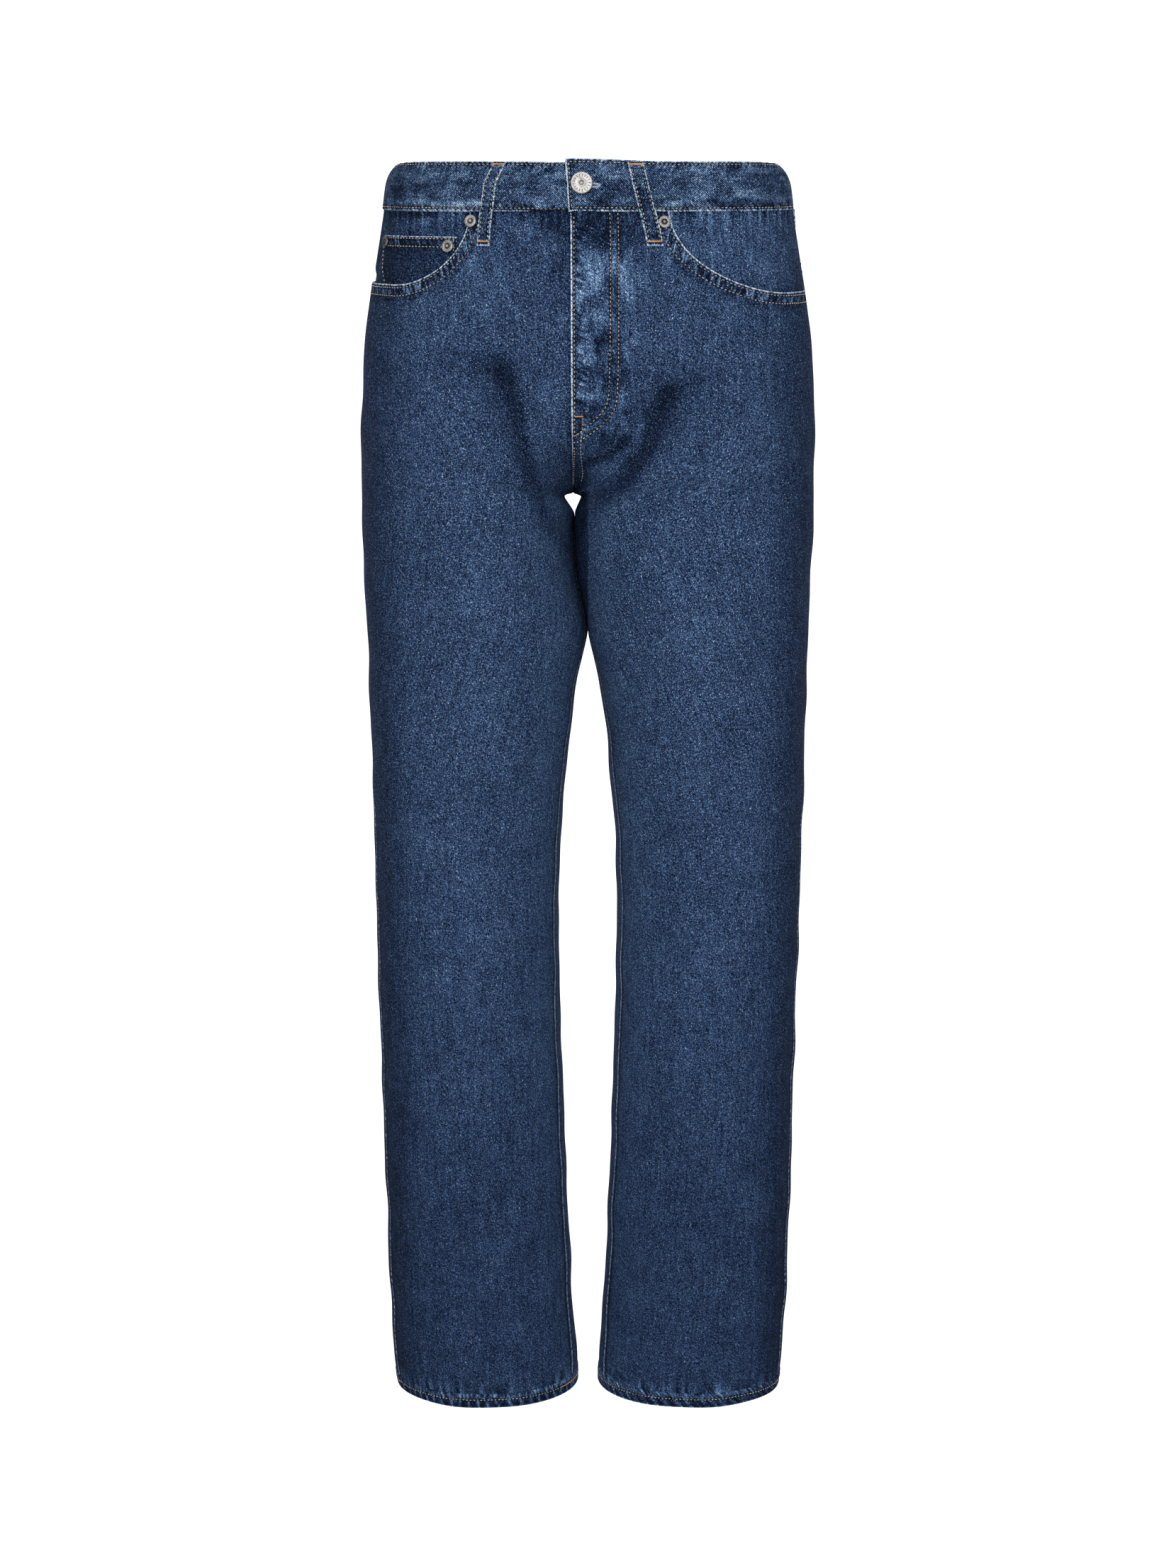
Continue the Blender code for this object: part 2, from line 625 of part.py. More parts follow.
# A belt loop's width, and how far across the front or back its centre line is at the
# top of the waistband, a little above the waist seam, and at its lower end.
LOOPS = (
    Loop("belt_loop_front_right", -1, False, 0.0112, 0.0575, 0.0668, 0.0727),
    Loop("belt_loop_front_left", 1, False, 0.0124, 0.0490, 0.0545, 0.0635),
    Loop("belt_loop_side_right", -1, True, 0.0115, 0.1620, 0.1640, 0.1660),
    Loop("belt_loop_side_left", 1, True, 0.0115, 0.1960, 0.1980, 0.2000),
    Loop("belt_loop_back", 1, True, 0.0115, 0.0, 0.0, 0.0),
)
LOOP_TOP = 0.0385
LOOP_MIDDLE = 0.021
LOOP_FOOT = -0.027
LOOP_WALL = 0.0020
LOOP_TOP_LIFT = BAND_PROUD + 0.0009
LOOP_FOOT_LIFT = 0.0005
LOOP_BULGE = 0.0024       # how far it bows out between its two ends
LOOP_STEP = 0.5           # how far down it comes off the waistband
LOOP_STEP_EASE = 0.2
LOOP_BOW_TOP = 0.3        # how much of it curves out at the top, and in at the foot
LOOP_BOW_FOOT = 0.25
LOOP_COLUMNS, LOOP_ROWS = 2, 12
LEVEL_Z = -0.045    # the height at which distances round the garment are measured


def belt_loop(loop):
    def place(across, down, depth):
        up = LOOP_TOP + (LOOP_FOOT - LOOP_TOP) * down
        heights, centres = (LOOP_FOOT, LOOP_MIDDLE, LOOP_TOP), (loop.foot, loop.middle, loop.top)
        aside = np.interp(up, heights, centres) + loop.width * (across - 0.5) * loop.side
        level = np.full_like(up, LEVEL_Z)
        angle = on_face(aside, level, loop.back)
        side = np.full_like(up, loop.side)
        if loop.middle == 0:
            side = np.where(aside < 0, -1.0, 1.0)
        z = seam_height(angle) + up
        come_off = smooth_step((down - LOOP_STEP) / LOOP_STEP_EASE)
        ends = LOOP_TOP_LIFT + (LOOP_FOOT_LIFT - LOOP_TOP_LIFT) * come_off
        bow = smooth_step(down / LOOP_BOW_TOP) * smooth_step((1 - down) / LOOP_BOW_FOOT)
        lift = ends + LOOP_BULGE * bow
        lower = np.minimum(z, seam_height(angle) - GAP / 3)
        angle = np.where(up < 0, on_face(aside, lower, loop.back), angle)
        return skin(side, angle, z, lift + LOOP_WALL * (1 - depth))

    return cloth(loop.name, LOOP_COLUMNS, LOOP_ROWS, place)


# ---------------------------------------------------------------- pockets and fly
FACING_START = 0.28       # as a share across the front panel
FACING_BELOW = 0.022      # how far it runs on below the mouth
FACING_EASE = 0.014       # the mouth's opening in which the cloth behind comes forward
FACING_TIP = 0.02         # where the mouth is narrow the facing is no shorter than here
FACING_COLUMNS, FACING_ROWS = 14, 7
PANEL_TOP_WIDTH = 0.25
COIN_IN, COIN_OUT = 0.0975, 0.1865
COIN_TOP, COIN_FOOT = 0.0195, 0.072
COIN_TAPER = 0.004
COIN_LEVEL_Z = -0.055
COIN_COLUMNS, COIN_ROWS = 9, 5
COIN_END_SHARE = 0.81     # past the coin pocket the cloth behind it comes forward again
COIN_END_EASE = 0.06
COIN_END_RISE = 0.8
CLEAR = 0.0002            # so that no layer touches the next
UNDER = DENIM + 0.0010    # from one layer's face to that of the layer behind it


def behind_mouth(side, share, drop):
    """1 behind the front panel and 0 well inside the pocket's opening."""
    start = MOUTHS[side].start
    clear = np.minimum(mouth_drop(side, share) - drop, (share - start) * PANEL_TOP_WIDTH)
    return 1 - smooth_step(clear / FACING_EASE)


def facing_lift(side, share, drop):
    """How far the cloth behind a pocket's opening lies below the skin."""
    behind = behind_mouth(side, share, drop)
    layers = behind
    if side < 0:
        beyond_coin = smooth_step((share - COIN_END_SHARE) / COIN_END_EASE)
        layers = 1 + behind - COIN_END_RISE * beyond_coin * (1 - behind)
    return -UNDER * layers - CLEAR


def pocket_facing(name, side):
    def place(across, down, depth):
        share = FACING_START + (1 - FACING_START) * across
        level = on_panel(side, share, np.full_like(share, PANEL_TOP_Z))
        reach = mouth_drop(side, np.maximum(share, MOUTHS[side].start + FACING_TIP)) + FACING_BELOW
        drop = TOP_GAP + down * (reach - TOP_GAP)
        z = seam_height(level) - drop
        angle = on_panel(side, share, z)
        return skin(side, angle, z, facing_lift(side, share, drop) - depth * DENIM)

    return cloth(name, FACING_COLUMNS, FACING_ROWS, place)


def coin_pocket(name, side):
    def place(across, down, depth):
        drop = COIN_TOP + (COIN_FOOT - COIN_TOP) * down
        taper = COIN_TAPER * down
        aside = COIN_IN + taper + (COIN_OUT - COIN_IN - 2 * taper) * across
        level = on_face(aside, np.full_like(aside, COIN_LEVEL_Z))
        z = seam_height(level) - drop
        angle = on_face(aside, z)
        width = across_panel(side, panel_edges(side, z, False)[1], z)
        share = across_panel(side, angle, z) / width
        lift = facing_lift(side, share, drop) + UNDER + CLEAR
        return skin(side, angle, z, lift - depth * DENIM)

    return cloth(name, COIN_COLUMNS, COIN_ROWS, place)


FLAP_TOP_Z = -0.0405      # the flap behind the fly
FLAP_FOOT_Z = -0.190
FLAP_START = 0.0006
FLAP_WIDTH = 0.040
FLAP_COLUMNS, FLAP_ROWS = 4, 8


def fly_underlap(name):
    def place(across, down, depth):
        z = FLAP_TOP_Z + (FLAP_FOOT_Z - FLAP_TOP_Z) * down
        angle = on_face(FLAP_START + FLAP_WIDTH * across, z)
        z = np.minimum(z, seam_height(angle) - 2 * GAP)
        return skin(1.0, angle, z, -UNDER - CLEAR - depth * DENIM)

    return cloth(name, FLAP_COLUMNS, FLAP_ROWS, place)


BACK_POCKET_TOP = 0.082   # below the waist seam
BACK_POCKET_HEIGHT = 0.128
BACK_POCKET_POINT = 0.022
BACK_POCKET_TOP_WIDTH = 0.154
BACK_POCKET_FOOT_WIDTH = 0.128
BACK_POCKET_CENTRE = {1: 0.128, -1: 0.114}
BACK_POCKET_TILT = 0.03
BACK_POCKET_COLUMNS, BACK_POCKET_ROWS = 12, 9
PATCH_LIFT = 0.0014       # off the seat, and a little more at the foot
PATCH_FOOT_LIFT = 0.0006


def back_pocket(name, side):
    def place(across, down, depth):
        wide = BACK_POCKET_TOP_WIDTH + (BACK_POCKET_FOOT_WIDTH - BACK_POCKET_TOP_WIDTH) * down
        from_centre = (across - 0.5) * wide
        point = BACK_POCKET_POINT * (1 - np.abs(2 * across - 1)) * down
        centre = BACK_POCKET_CENTRE[side]
        level = on_face(np.full_like(across, centre), np.full_like(across, LEVEL_Z), back=True)
        z = seam_height(level) - BACK_POCKET_TOP - BACK_POCKET_TILT * from_centre
        z = z - BACK_POCKET_HEIGHT * down - point
        angle = on_face(centre + from_centre, z, back=True)
        return skin(side, angle, z, PATCH_LIFT + PATCH_FOOT_LIFT * down**2 + DENIM * (1 - depth))

    return cloth(name, BACK_POCKET_COLUMNS, BACK_POCKET_ROWS, place)


# ---------------------------------------------------------------- metal
RIVET = ((0.0, 0.0), (0.0053, 0.0), (0.0053, 0.0007), (0.0042, 0.0013), (0.0019, 0.0010),
         (0.0012, 0.0017), (0.0, 0.0018))
BUTTON = ((0.0, 0.0), (0.0070, 0.0), (0.0090, 0.0010), (0.0090, 0.0019), (0.0078, 0.0026),
          (0.0062, 0.0022), (0.0040, 0.0020), (0.0032, 0.0028), (0.0018, 0.0034), (0.0, 0.0036))


def lathed(name, profile, side, angle, z, lift, around):
    """A round metal piece, turned from a profile of (radius, height) and set on the skin."""
    outline = bpy.data.meshes.new(name)
    corners = [(radius, 0.0, height) for radius, height in profile]
    outline.from_pydata(corners, [(k, k + 1) for k in range(len(profile) - 1)], [])
    piece = bpy.data.objects.new(name, outline)
    JEANS.objects.link(piece)
    bpy.ops.object.select_all(action="DESELECT")
    bpy.context.view_layer.objects.active = piece
    piece.select_set(True)
    turning = piece.modifiers.new("turning", "SCREW")
    turning.axis = "Z"
    turning.steps = turning.render_steps = around
    turning.use_merge_vertices = True
    turning.merge_threshold = 1e-5
    bpy.ops.object.modifier_apply(modifier="turning")
    spot = np.array([float(side)]), np.array([math.radians(angle)]), np.array([float(z)])
    normal = Vector(skin_normal(*spot)[0])
    turn = Vector((0, 0, 1)).rotation_difference(normal).to_matrix().to_4x4()
    piece.data.transform(Matrix.Translation(Vector(skin(*spot, lift)[0])) @ turn)
    return face_out(finish(name, METAL_STUFF))


Rivet = namedtuple("Rivet", "name side angle z lift")
RIVETS = (
    Rivet("rivet_pocket_right", -1, 118.1, -0.0450, 0.0006),
    Rivet("rivet_coin_inner", -1, 124.5, -0.0640, 0.0008),
    Rivet("rivet_coin_outer", -1, 154.0, -0.0560, 0.0006),
    Rivet("rivet_pocket_left", 1, 113.0, -0.0460, 0.0006),
)
RIVET_FACETS = 20
BUTTON_ANGLE = 92.9
BUTTON_Z = -0.0170
BUTTON_LIFT = 0.0024
BUTTON_FACETS = 28


JEANS = start_scene()
DENIM_STUFF = material("denim", 0.85, 0.0)
METAL_STUFF = material("metal", 0.35, 0.9)

front_panel("front_left", 1)
front_panel("front_right", -1)
back_panel("back_left", 1)
back_panel("back_right", -1)
yoke("yoke_left", 1)
yoke("yoke_right", -1)
hem("hem_left", 1)
hem("hem_right", -1)
waistband("waistband")
for loop in LOOPS:
    belt_loop(loop)
pocket_facing("pocket_facing_left", 1)
pocket_facing("pocket_facing_right", -1)
coin_pocket("coin_pocket", -1)
fly_underlap("fly_underlap")
back_pocket("back_pocket_left", 1)
back_pocket("back_pocket_right", -1)
for rivet in RIVETS:
    lathed(rivet.name, RIVET, rivet.side, rivet.angle, rivet.z, rivet.lift, RIVET_FACETS)
lathed("button", BUTTON, 1, BUTTON_ANGLE, BUTTON_Z, BUTTON_LIFT, BUTTON_FACETS)
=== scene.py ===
# %% [markdown]
# # Baggy five-pocket jeans
# A pair of jeans is a handful of flat cuts of denim sewn into two tubes that meet. Here
# each cut is a flat grid in Blender that is laid on one skin, the shape the garment takes
# when it is filled out, so that every seam meets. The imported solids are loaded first: they
# give the frame that every piece has to fit, and the size that the garment has to keep.

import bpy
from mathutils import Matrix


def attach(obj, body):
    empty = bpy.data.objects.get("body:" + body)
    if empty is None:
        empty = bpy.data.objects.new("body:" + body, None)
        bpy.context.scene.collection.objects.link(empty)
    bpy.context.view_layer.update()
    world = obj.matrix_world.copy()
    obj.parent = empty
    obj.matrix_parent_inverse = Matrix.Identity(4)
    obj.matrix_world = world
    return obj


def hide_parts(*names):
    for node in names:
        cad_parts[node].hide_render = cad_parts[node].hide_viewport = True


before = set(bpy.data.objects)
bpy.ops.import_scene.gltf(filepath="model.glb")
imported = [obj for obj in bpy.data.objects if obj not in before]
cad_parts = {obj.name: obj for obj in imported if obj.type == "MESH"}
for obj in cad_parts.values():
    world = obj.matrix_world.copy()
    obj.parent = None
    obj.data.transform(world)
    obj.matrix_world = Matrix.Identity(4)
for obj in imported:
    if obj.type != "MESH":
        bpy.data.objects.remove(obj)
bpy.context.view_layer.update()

# %% Tools
import math
from collections import namedtuple

import bmesh
import bpy
import numpy as np
from mathutils import Matrix, Vector

SIDES = ((1, "left"), (-1, "right"))    # the wearer's left is at positive x
TINY = 1e-12                            # keeps a division from failing


def pick(piece):
    """Selects one piece and nothing else."""
    bpy.ops.object.select_all(action="DESELECT")
    bpy.context.view_layer.objects.active = piece
    piece.select_set(True)


def face_outwards(merge=False):
    """Turns the faces of the picked piece outwards, once its doubles are merged."""
    bpy.ops.object.mode_set(mode="EDIT")
    bpy.ops.mesh.select_all(action="SELECT")
    if merge:
        bpy.ops.mesh.remove_doubles(threshold=1e-6)
    bpy.ops.mesh.normals_make_consistent(inside=False)
    bpy.ops.object.mode_set(mode="OBJECT")


# %% [markdown]
# ## Camera
# The garment is seen from straight in front at about the height of the crotch, with the
# camera tipped down a little, so that the hems curve down towards it. A lens of 55 mm at
# two metres keeps the legs nearly parallel.

# %% Camera
CAMERA_PLACE = (0.0, -2.0, -0.265)
CAMERA_PITCH = math.radians(6.65)
CAMERA_LENS = 55         # millimetres

bpy.ops.object.camera_add(location=CAMERA_PLACE, rotation=(math.pi / 2 - CAMERA_PITCH, 0, 0))
camera = bpy.context.object
camera.name = "camera"
camera.data.lens = CAMERA_LENS
bpy.context.scene.camera = camera
print("the camera stands at", CAMERA_PLACE)

# %% [markdown]
# ## Light
# Denim shows its weave best in broad, soft light from the front, which leaves the sides
# of the legs a little darker. One large panel stands in front and above, a weak one fills
# in from the right, a third lifts the backdrop, and the pale surroundings fill the
# shadows. The paper also glows, as a sheet does that is lit from behind, so that it comes
# out white, but its light is kept off the garment: it would wash the folds out.

# %% Light
LOOK_AT = Vector((0.0, 0.0, -0.5))
BACKDROP_AT = Vector((0.0, 3.6, -0.4))
ROOM_COLOUR = (0.94, 0.97, 1.0, 1.0)
ROOM_STRENGTH = 0.55


def soft_panel(name, place, size, power, aim=LOOK_AT):
    bpy.ops.object.light_add(type="AREA", location=place)
    lamp = bpy.context.object
    lamp.name = name
    lamp.rotation_euler = (aim - Vector(place)).to_track_quat("-Z", "Y").to_euler()
    lamp.data.size = size
    lamp.data.energy = power
    lamp.visible_camera = False
    print("the light", name, "has", power, "watts")


soft_panel("key", (-0.5, -3.4, 1.3), 1.8, 60)
soft_panel("fill", (1.3, -3.0, -0.3), 1.6, 12)
soft_panel("behind", (0.0, 0.9, 1.6), 2.2, 20, BACKDROP_AT)

studio = bpy.data.worlds.new("studio")
studio.use_nodes = True
room = studio.node_tree.nodes["Background"]
room.inputs["Color"].default_value = ROOM_COLOUR
room.inputs["Strength"].default_value = ROOM_STRENGTH
bpy.context.scene.world = studio
bpy.context.scene.view_settings.view_transform = "Standard"
print("the room's strength is", ROOM_STRENGTH)

# %% [markdown]
# ## Backdrop
# The garment hangs clear of the ground in front of a sheet of pale paper. A plane makes
# it: its far edge is extruded upwards, and the crease is bevelled into one wide curve so
# that no line shows behind the legs.

# %% Backdrop
FLOOR_Z = -1.24
SWEEP_SIZE = 9.0
SWEEP_MIDDLE_Y = -1.0
SWEEP_HEIGHT = 4.6
SWEEP_CURVE = 1.1
SWEEP_STEPS = 24
PAPER_GLOW = 0.60


def tint(red, green, blue):
    """A colour given as it looks on a screen, from 0 to 255, as Blender stores it."""
    shares = [value / 255 for value in (red, green, blue)]
    return tuple(s / 12.92 if s < 0.04045 else ((s + 0.055) / 1.055) ** 2.4 for s in shares) + (1.0,)


def select_edges(shape, wanted):
    """Selects the edges whose two ends are both wanted, and nothing else."""
    for edge in shape.edges:
        edge.select_set(False)
    for edge in shape.edges:
        if all(wanted(corner.co) for corner in edge.verts):
            edge.select_set(True)


bpy.ops.object.select_all(action="DESELECT")
bpy.ops.mesh.primitive_plane_add(size=SWEEP_SIZE, location=(0, SWEEP_MIDDLE_Y, FLOOR_Z))
backdrop = bpy.context.object
backdrop.name = "backdrop"
bpy.ops.object.mode_set(mode="EDIT")
bpy.ops.mesh.select_mode(type="EDGE")
sweep = bmesh.from_edit_mesh(backdrop.data)
select_edges(sweep, lambda corner: corner.y > 0)
bmesh.update_edit_mesh(backdrop.data)
bpy.ops.mesh.extrude_region_move(TRANSFORM_OT_translate={"value": (0, 0, SWEEP_HEIGHT)})
sweep = bmesh.from_edit_mesh(backdrop.data)
select_edges(sweep, lambda corner: corner.y > 0 and corner.z < SWEEP_HEIGHT / 2)
bmesh.update_edit_mesh(backdrop.data)
bpy.ops.mesh.bevel(offset=SWEEP_CURVE, segments=SWEEP_STEPS, profile=0.5)
bpy.ops.object.mode_set(mode="OBJECT")
bpy.ops.object.shade_smooth()

paper = bpy.data.materials.new("pale paper")
paper.use_nodes = True
paper_shader = paper.node_tree.nodes["Principled BSDF"]
paper_shader.inputs["Base Color"].default_value = tint(247, 247, 247)
paper_shader.inputs["Roughness"].default_value = 0.95
paper_shader.inputs["Emission Color"].default_value = (1.0, 1.0, 1.0, 1.0)
paper_shader.inputs["Emission Strength"].default_value = PAPER_GLOW
backdrop.data.materials.append(paper)
backdrop.visible_diffuse = False
print("the backdrop has", len(backdrop.data.polygons), "faces")

# %% [markdown]
# ## The shape inside
# The shape is read off the garment from the waist to the hems: how far the outer and the
# inner side of a leg are from the middle, how far the front and the back stand forward
# and behind, and how square the section is. A smooth curve through each column gives the
# size at any height. These are the same sizes as the solids have.

# %% Sizes
DENIM = 0.0014
BAND_WALL = 0.0026
HEM_WALL = 0.0030
GAP = 0.0003
TUCK = 0.0016           # how far the panels reach up inside the waistband

CROTCH_Z = -0.256
CENTRE_Y = 0.003
HEM_Z = -1.017
HEM_HEIGHT = 0.0125
BAND_HEIGHT = 0.0393
SEAM_SIDE_Z = -0.025
SEAM_FRONT_SLOPE = 0.141
SEAM_BACK_SLOPE = 0.090
JOIN_Z = -0.050
YOKE_CENTRE_DROP = 0.072
YOKE_SIDE_DROP = 0.040

Section = namedtuple("Section", "z outer inner front back square")
SECTIONS = (
    Section(0.030, 0.1600, 0.0, 0.0920, 0.0990, 2.35),
    Section(-0.023, 0.1666, 0.0, 0.0970, 0.1020, 2.45),
    Section(-0.062, 0.1728, 0.0, 0.1030, 0.1090, 2.45),
    Section(-0.108, 0.1800, 0.0, 0.1090, 0.1190, 2.40),
    Section(-0.154, 0.1843, 0.0, 0.1130, 0.1280, 2.35),
    Section(-0.200, 0.1861, 0.0, 0.1150, 0.1330, 2.30),
    Section(-0.256, 0.1866, 0.0, 0.1140, 0.1310, 2.30),
    Section(-0.300, 0.1857, 0.0006, 0.1110, 0.1240, 2.30),
    Section(-0.366, 0.1838, 0.0006, 0.1060, 0.1150, 2.30),
    Section(-0.411, 0.1826, 0.0086, 0.1020, 0.1100, 2.25),
    Section(-0.483, 0.1812, 0.0170, 0.0970, 0.1030, 2.20),
    Section(-0.555, 0.1793, 0.0224, 0.0920, 0.0970, 2.20),
    Section(-0.627, 0.1779, 0.0238, 0.0880, 0.0930, 2.20),
    Section(-0.725, 0.1754, 0.0222, 0.0830, 0.0910, 2.20),
    Section(-0.825, 0.1732, 0.0188, 0.0780, 0.0870, 2.20),
    Section(-0.925, 0.1700, 0.0140, 0.0730, 0.0810, 2.20),
    Section(-0.990, 0.1672, 0.0096, 0.0705, 0.0775, 2.10),
    Section(-1.017, 0.1636, 0.0080, 0.0690, 0.0750, 2.02),
)

# Angles round a leg, in degrees: 0 is its inner side, 90 its front and 180 its outer
# side. shift is how far the middle of the garment has turned to one side.
Seam = namedtuple("Seam", "z inseam out_right out_left shift")
SEAMS = (
    Seam(0.030, 0, 188, 166, 0.0138),
    Seam(-0.100, 0, 186, 170, 0.0134),
    Seam(-0.256, 0, 182, 179, 0.0126),
    Seam(-0.271, 1, 181, 179, 0.0112),
    Seam(-0.320, 4, 180, 178, 0.0085),
    Seam(-0.366, 8, 177, 177, 0.0000),
    Seam(-0.440, 16, 170, 170, 0.0000),
    Seam(-0.560, 19, 162, 162, 0.0000),
    Seam(-0.800, 19, 160, 160, 0.0000),
    Seam(-1.017, 18, 160, 160, 0.0000),
)


def smooth_step(x):
    """0 up to zero, easing to 1 at one."""
    x = np.clip(x, 0.0, 1.0)
    return x * x * (3 - 2 * x)


def unit(vectors):
    """The same directions, each with a length of one."""
    return vectors / np.maximum(np.linalg.norm(vectors, axis=-1, keepdims=True), TINY)


def run_of(lengths):
    """How far along a line each of its points is, from the lengths between them."""
    return np.concatenate([[0], np.cumsum(lengths)])


def through(table, column):
    """A smooth function of height through one column of a table, which never overshoots."""
    knots = np.array([row.z for row in table])[::-1]
    values = np.array([getattr(row, column) for row in table], float)[::-1]
    rates = np.diff(values) / np.diff(knots)
    both = rates[:-1] * rates[1:]
    total = np.where(both > 0, rates[:-1] + rates[1:], 1.0)
    inner = np.where(both > 0, 2 * both / total, 0.0)
    slopes = np.concatenate([rates[:1], inner, rates[-1:]])

    def at(z):
        z = np.clip(z, knots[0], knots[-1])
        i = np.clip(np.searchsorted(knots, z, side="right") - 1, 0, len(knots) - 2)
        step = knots[i + 1] - knots[i]
        t = (z - knots[i]) / step
        return (
            values[i] * (2 * t**3 - 3 * t**2 + 1)
            + slopes[i] * step * (t**3 - 2 * t**2 + t)
            + values[i + 1] * (3 * t**2 - 2 * t**3)
            + slopes[i + 1] * step * (t**3 - t**2)
        )

    return at


outer_at, front_at, back_at, square_at = (
    through(SECTIONS, name) for name in ("outer", "front", "back", "square")
)
inner_table_at = through(SECTIONS, "inner")
inseam_at, out_right_at, out_left_at, shift_at = (
    through(SEAMS, name) for name in ("inseam", "out_right", "out_left", "shift")
)
print("half width at the knee", round(float(outer_at(-0.6)), 4))

# %% [markdown]
# ## The skin
# Below the crotch each leg is an oval, and above it the two grow into one. The skin is a
# function: given a side, an angle round the leg and a height, it returns a point. That
# is better than a mesh here, because a seam, a stitch or a rivet can ask for its place
# exactly. The waistband leans in, and its top rolls in further at the two sides.

# %% Oval sections
ARCH_HALF_WIDTH = 0.0068
ARCH_RISE = 0.002
ARCH_DEPTH = 0.015
ARCH_POINT = 1.15
ARCH_GRIP = 8
RISE_POWER = 1.15
BRIDGE_FROM = 0.008
BRIDGE_FULL = 0.075
BRIDGE_BACK = 0.75
BRIDGE_SAG = 0.6


def above_crotch(z):
    """0 at the crotch and 1 where the torso has become a single oval."""
    return np.clip((z - CROTCH_Z) / (JOIN_Z - CROTCH_Z), 0.0, 1.0)


def inner_at(z):
    return np.where(z > CROTCH_Z, -outer_at(z) * above_crotch(z) ** RISE_POWER, inner_table_at(z))


def centre_at(z):
    legs = (outer_at(z) + np.where(z > CROTCH_Z, 0.0, inner_table_at(z))) / 2
    return legs * (1 - smooth_step(above_crotch(z)))


def arch_at(z):
    """How far the leg's inner side draws back right under the crotch."""
    below = np.clip(CROTCH_Z - z, 0.0, None)
    opened = np.sqrt(np.clip(below / ARCH_RISE, 0.0, 1.0))
    closed = np.clip((below - ARCH_RISE) / (ARCH_DEPTH - ARCH_RISE), 0.0, 1.0)
    return ARCH_HALF_WIDTH * opened * (1 - closed) ** ARCH_POINT


def middle_angle(z):
    """The angle round the leg at which its section meets the middle of the garment."""
    centre, square = centre_at(z), square_at(z)
    share = np.clip(centre / (centre - inner_at(z)), 1e-6, 1.0) ** square
    return np.where(z > CROTCH_Z, np.arctan(((1 - share) / share) ** (1 / square)), 0.0)


def oval(angle, z):
    """The section's point at an angle, for one leg, before the garment's turn."""
    centre, square = centre_at(z), square_at(z)
    cosine, sine = np.cos(angle), np.sin(angle)
    reach = (np.abs(cosine) ** square + np.abs(sine) ** square) ** (-1 / square)
    radius = np.where(cosine > 0, centre - inner_at(z), outer_at(z) - centre)
    x = centre - radius * cosine * reach + arch_at(z) * np.clip(cosine, 0.0, 1.0) ** ARCH_GRIP
    in_front = sine > 0
    depth = np.where(in_front, front_at(z), back_at(z))
    y = sine * reach
    strength = smooth_step((z - CROTCH_Z - BRIDGE_FROM) / (BRIDGE_FULL - BRIDGE_FROM))
    strength = strength * np.where(in_front, 1.0, BRIDGE_BACK)
    valley = np.where((cosine > 0) & (z > CROTCH_Z), strength, 0.0)
    inward = smooth_step(1 - x / np.maximum(centre, 1e-6))
    middle = middle_angle(z)
    low = np.sin(middle) * (np.cos(middle) ** square + np.sin(middle) ** square) ** (-1 / square)
    spanned = np.sign(y) * (1 - inward * (1 - low) * BRIDGE_SAG)
    y = y * (1 - valley) + spanned * valley
    return x, CENTRE_Y - y * depth


def seam_height(angle):
    """The height of the waist seam at an angle."""
    z = np.full(np.shape(angle), SEAM_SIDE_Z)
    for _ in range(3):
        y = oval(angle, z)[1]
        z = SEAM_SIDE_Z + np.where(y < 0, SEAM_FRONT_SLOPE, SEAM_BACK_SLOPE) * y
    return z


print("the waist seam lies at", round(float(seam_height(math.pi / 2)), 4), "in front")

# %% Bare skin
BAND_LEAN = math.radians(6)
BAND_ROLL = math.radians(80)
BAND_ROLL_POWER = 3.6
ROLL_START = 0.12
BAND_STEPS = 10
CONTACT_SLOPE = 0.10
CONTACT_REACH = 0.035
CONTACT_DEPTH = 0.03
CONTACT_TOP_Z = -0.270
CONTACT_TOP_EASE = 0.012
CONTACT_FOOT_Z = -0.395
CONTACT_FOOT_EASE = 0.035
ANGLE_STEP = 1e-4
HEIGHT_STEP = 3e-4


def turned(x, y, z):
    """Turns the middle of the garment to one side, leaving its sides where they are."""
    share = np.clip(np.abs(x) / outer_at(z), 0.0, 1.0)
    x = x - shift_at(z) * (1 - share**2) ** 2
    below_top = smooth_step((CONTACT_TOP_Z - z) / CONTACT_TOP_EASE)
    zone = below_top * smooth_step((z - CONTACT_FOOT_Z) / CONTACT_FOOT_EASE)
    near = np.exp(-(((x + shift_at(z)) / CONTACT_REACH) ** 2))
    askew = CONTACT_DEPTH * np.tanh((y - CENTRE_Y) / CONTACT_DEPTH)
    return x + CONTACT_SLOPE * zone * near * askew


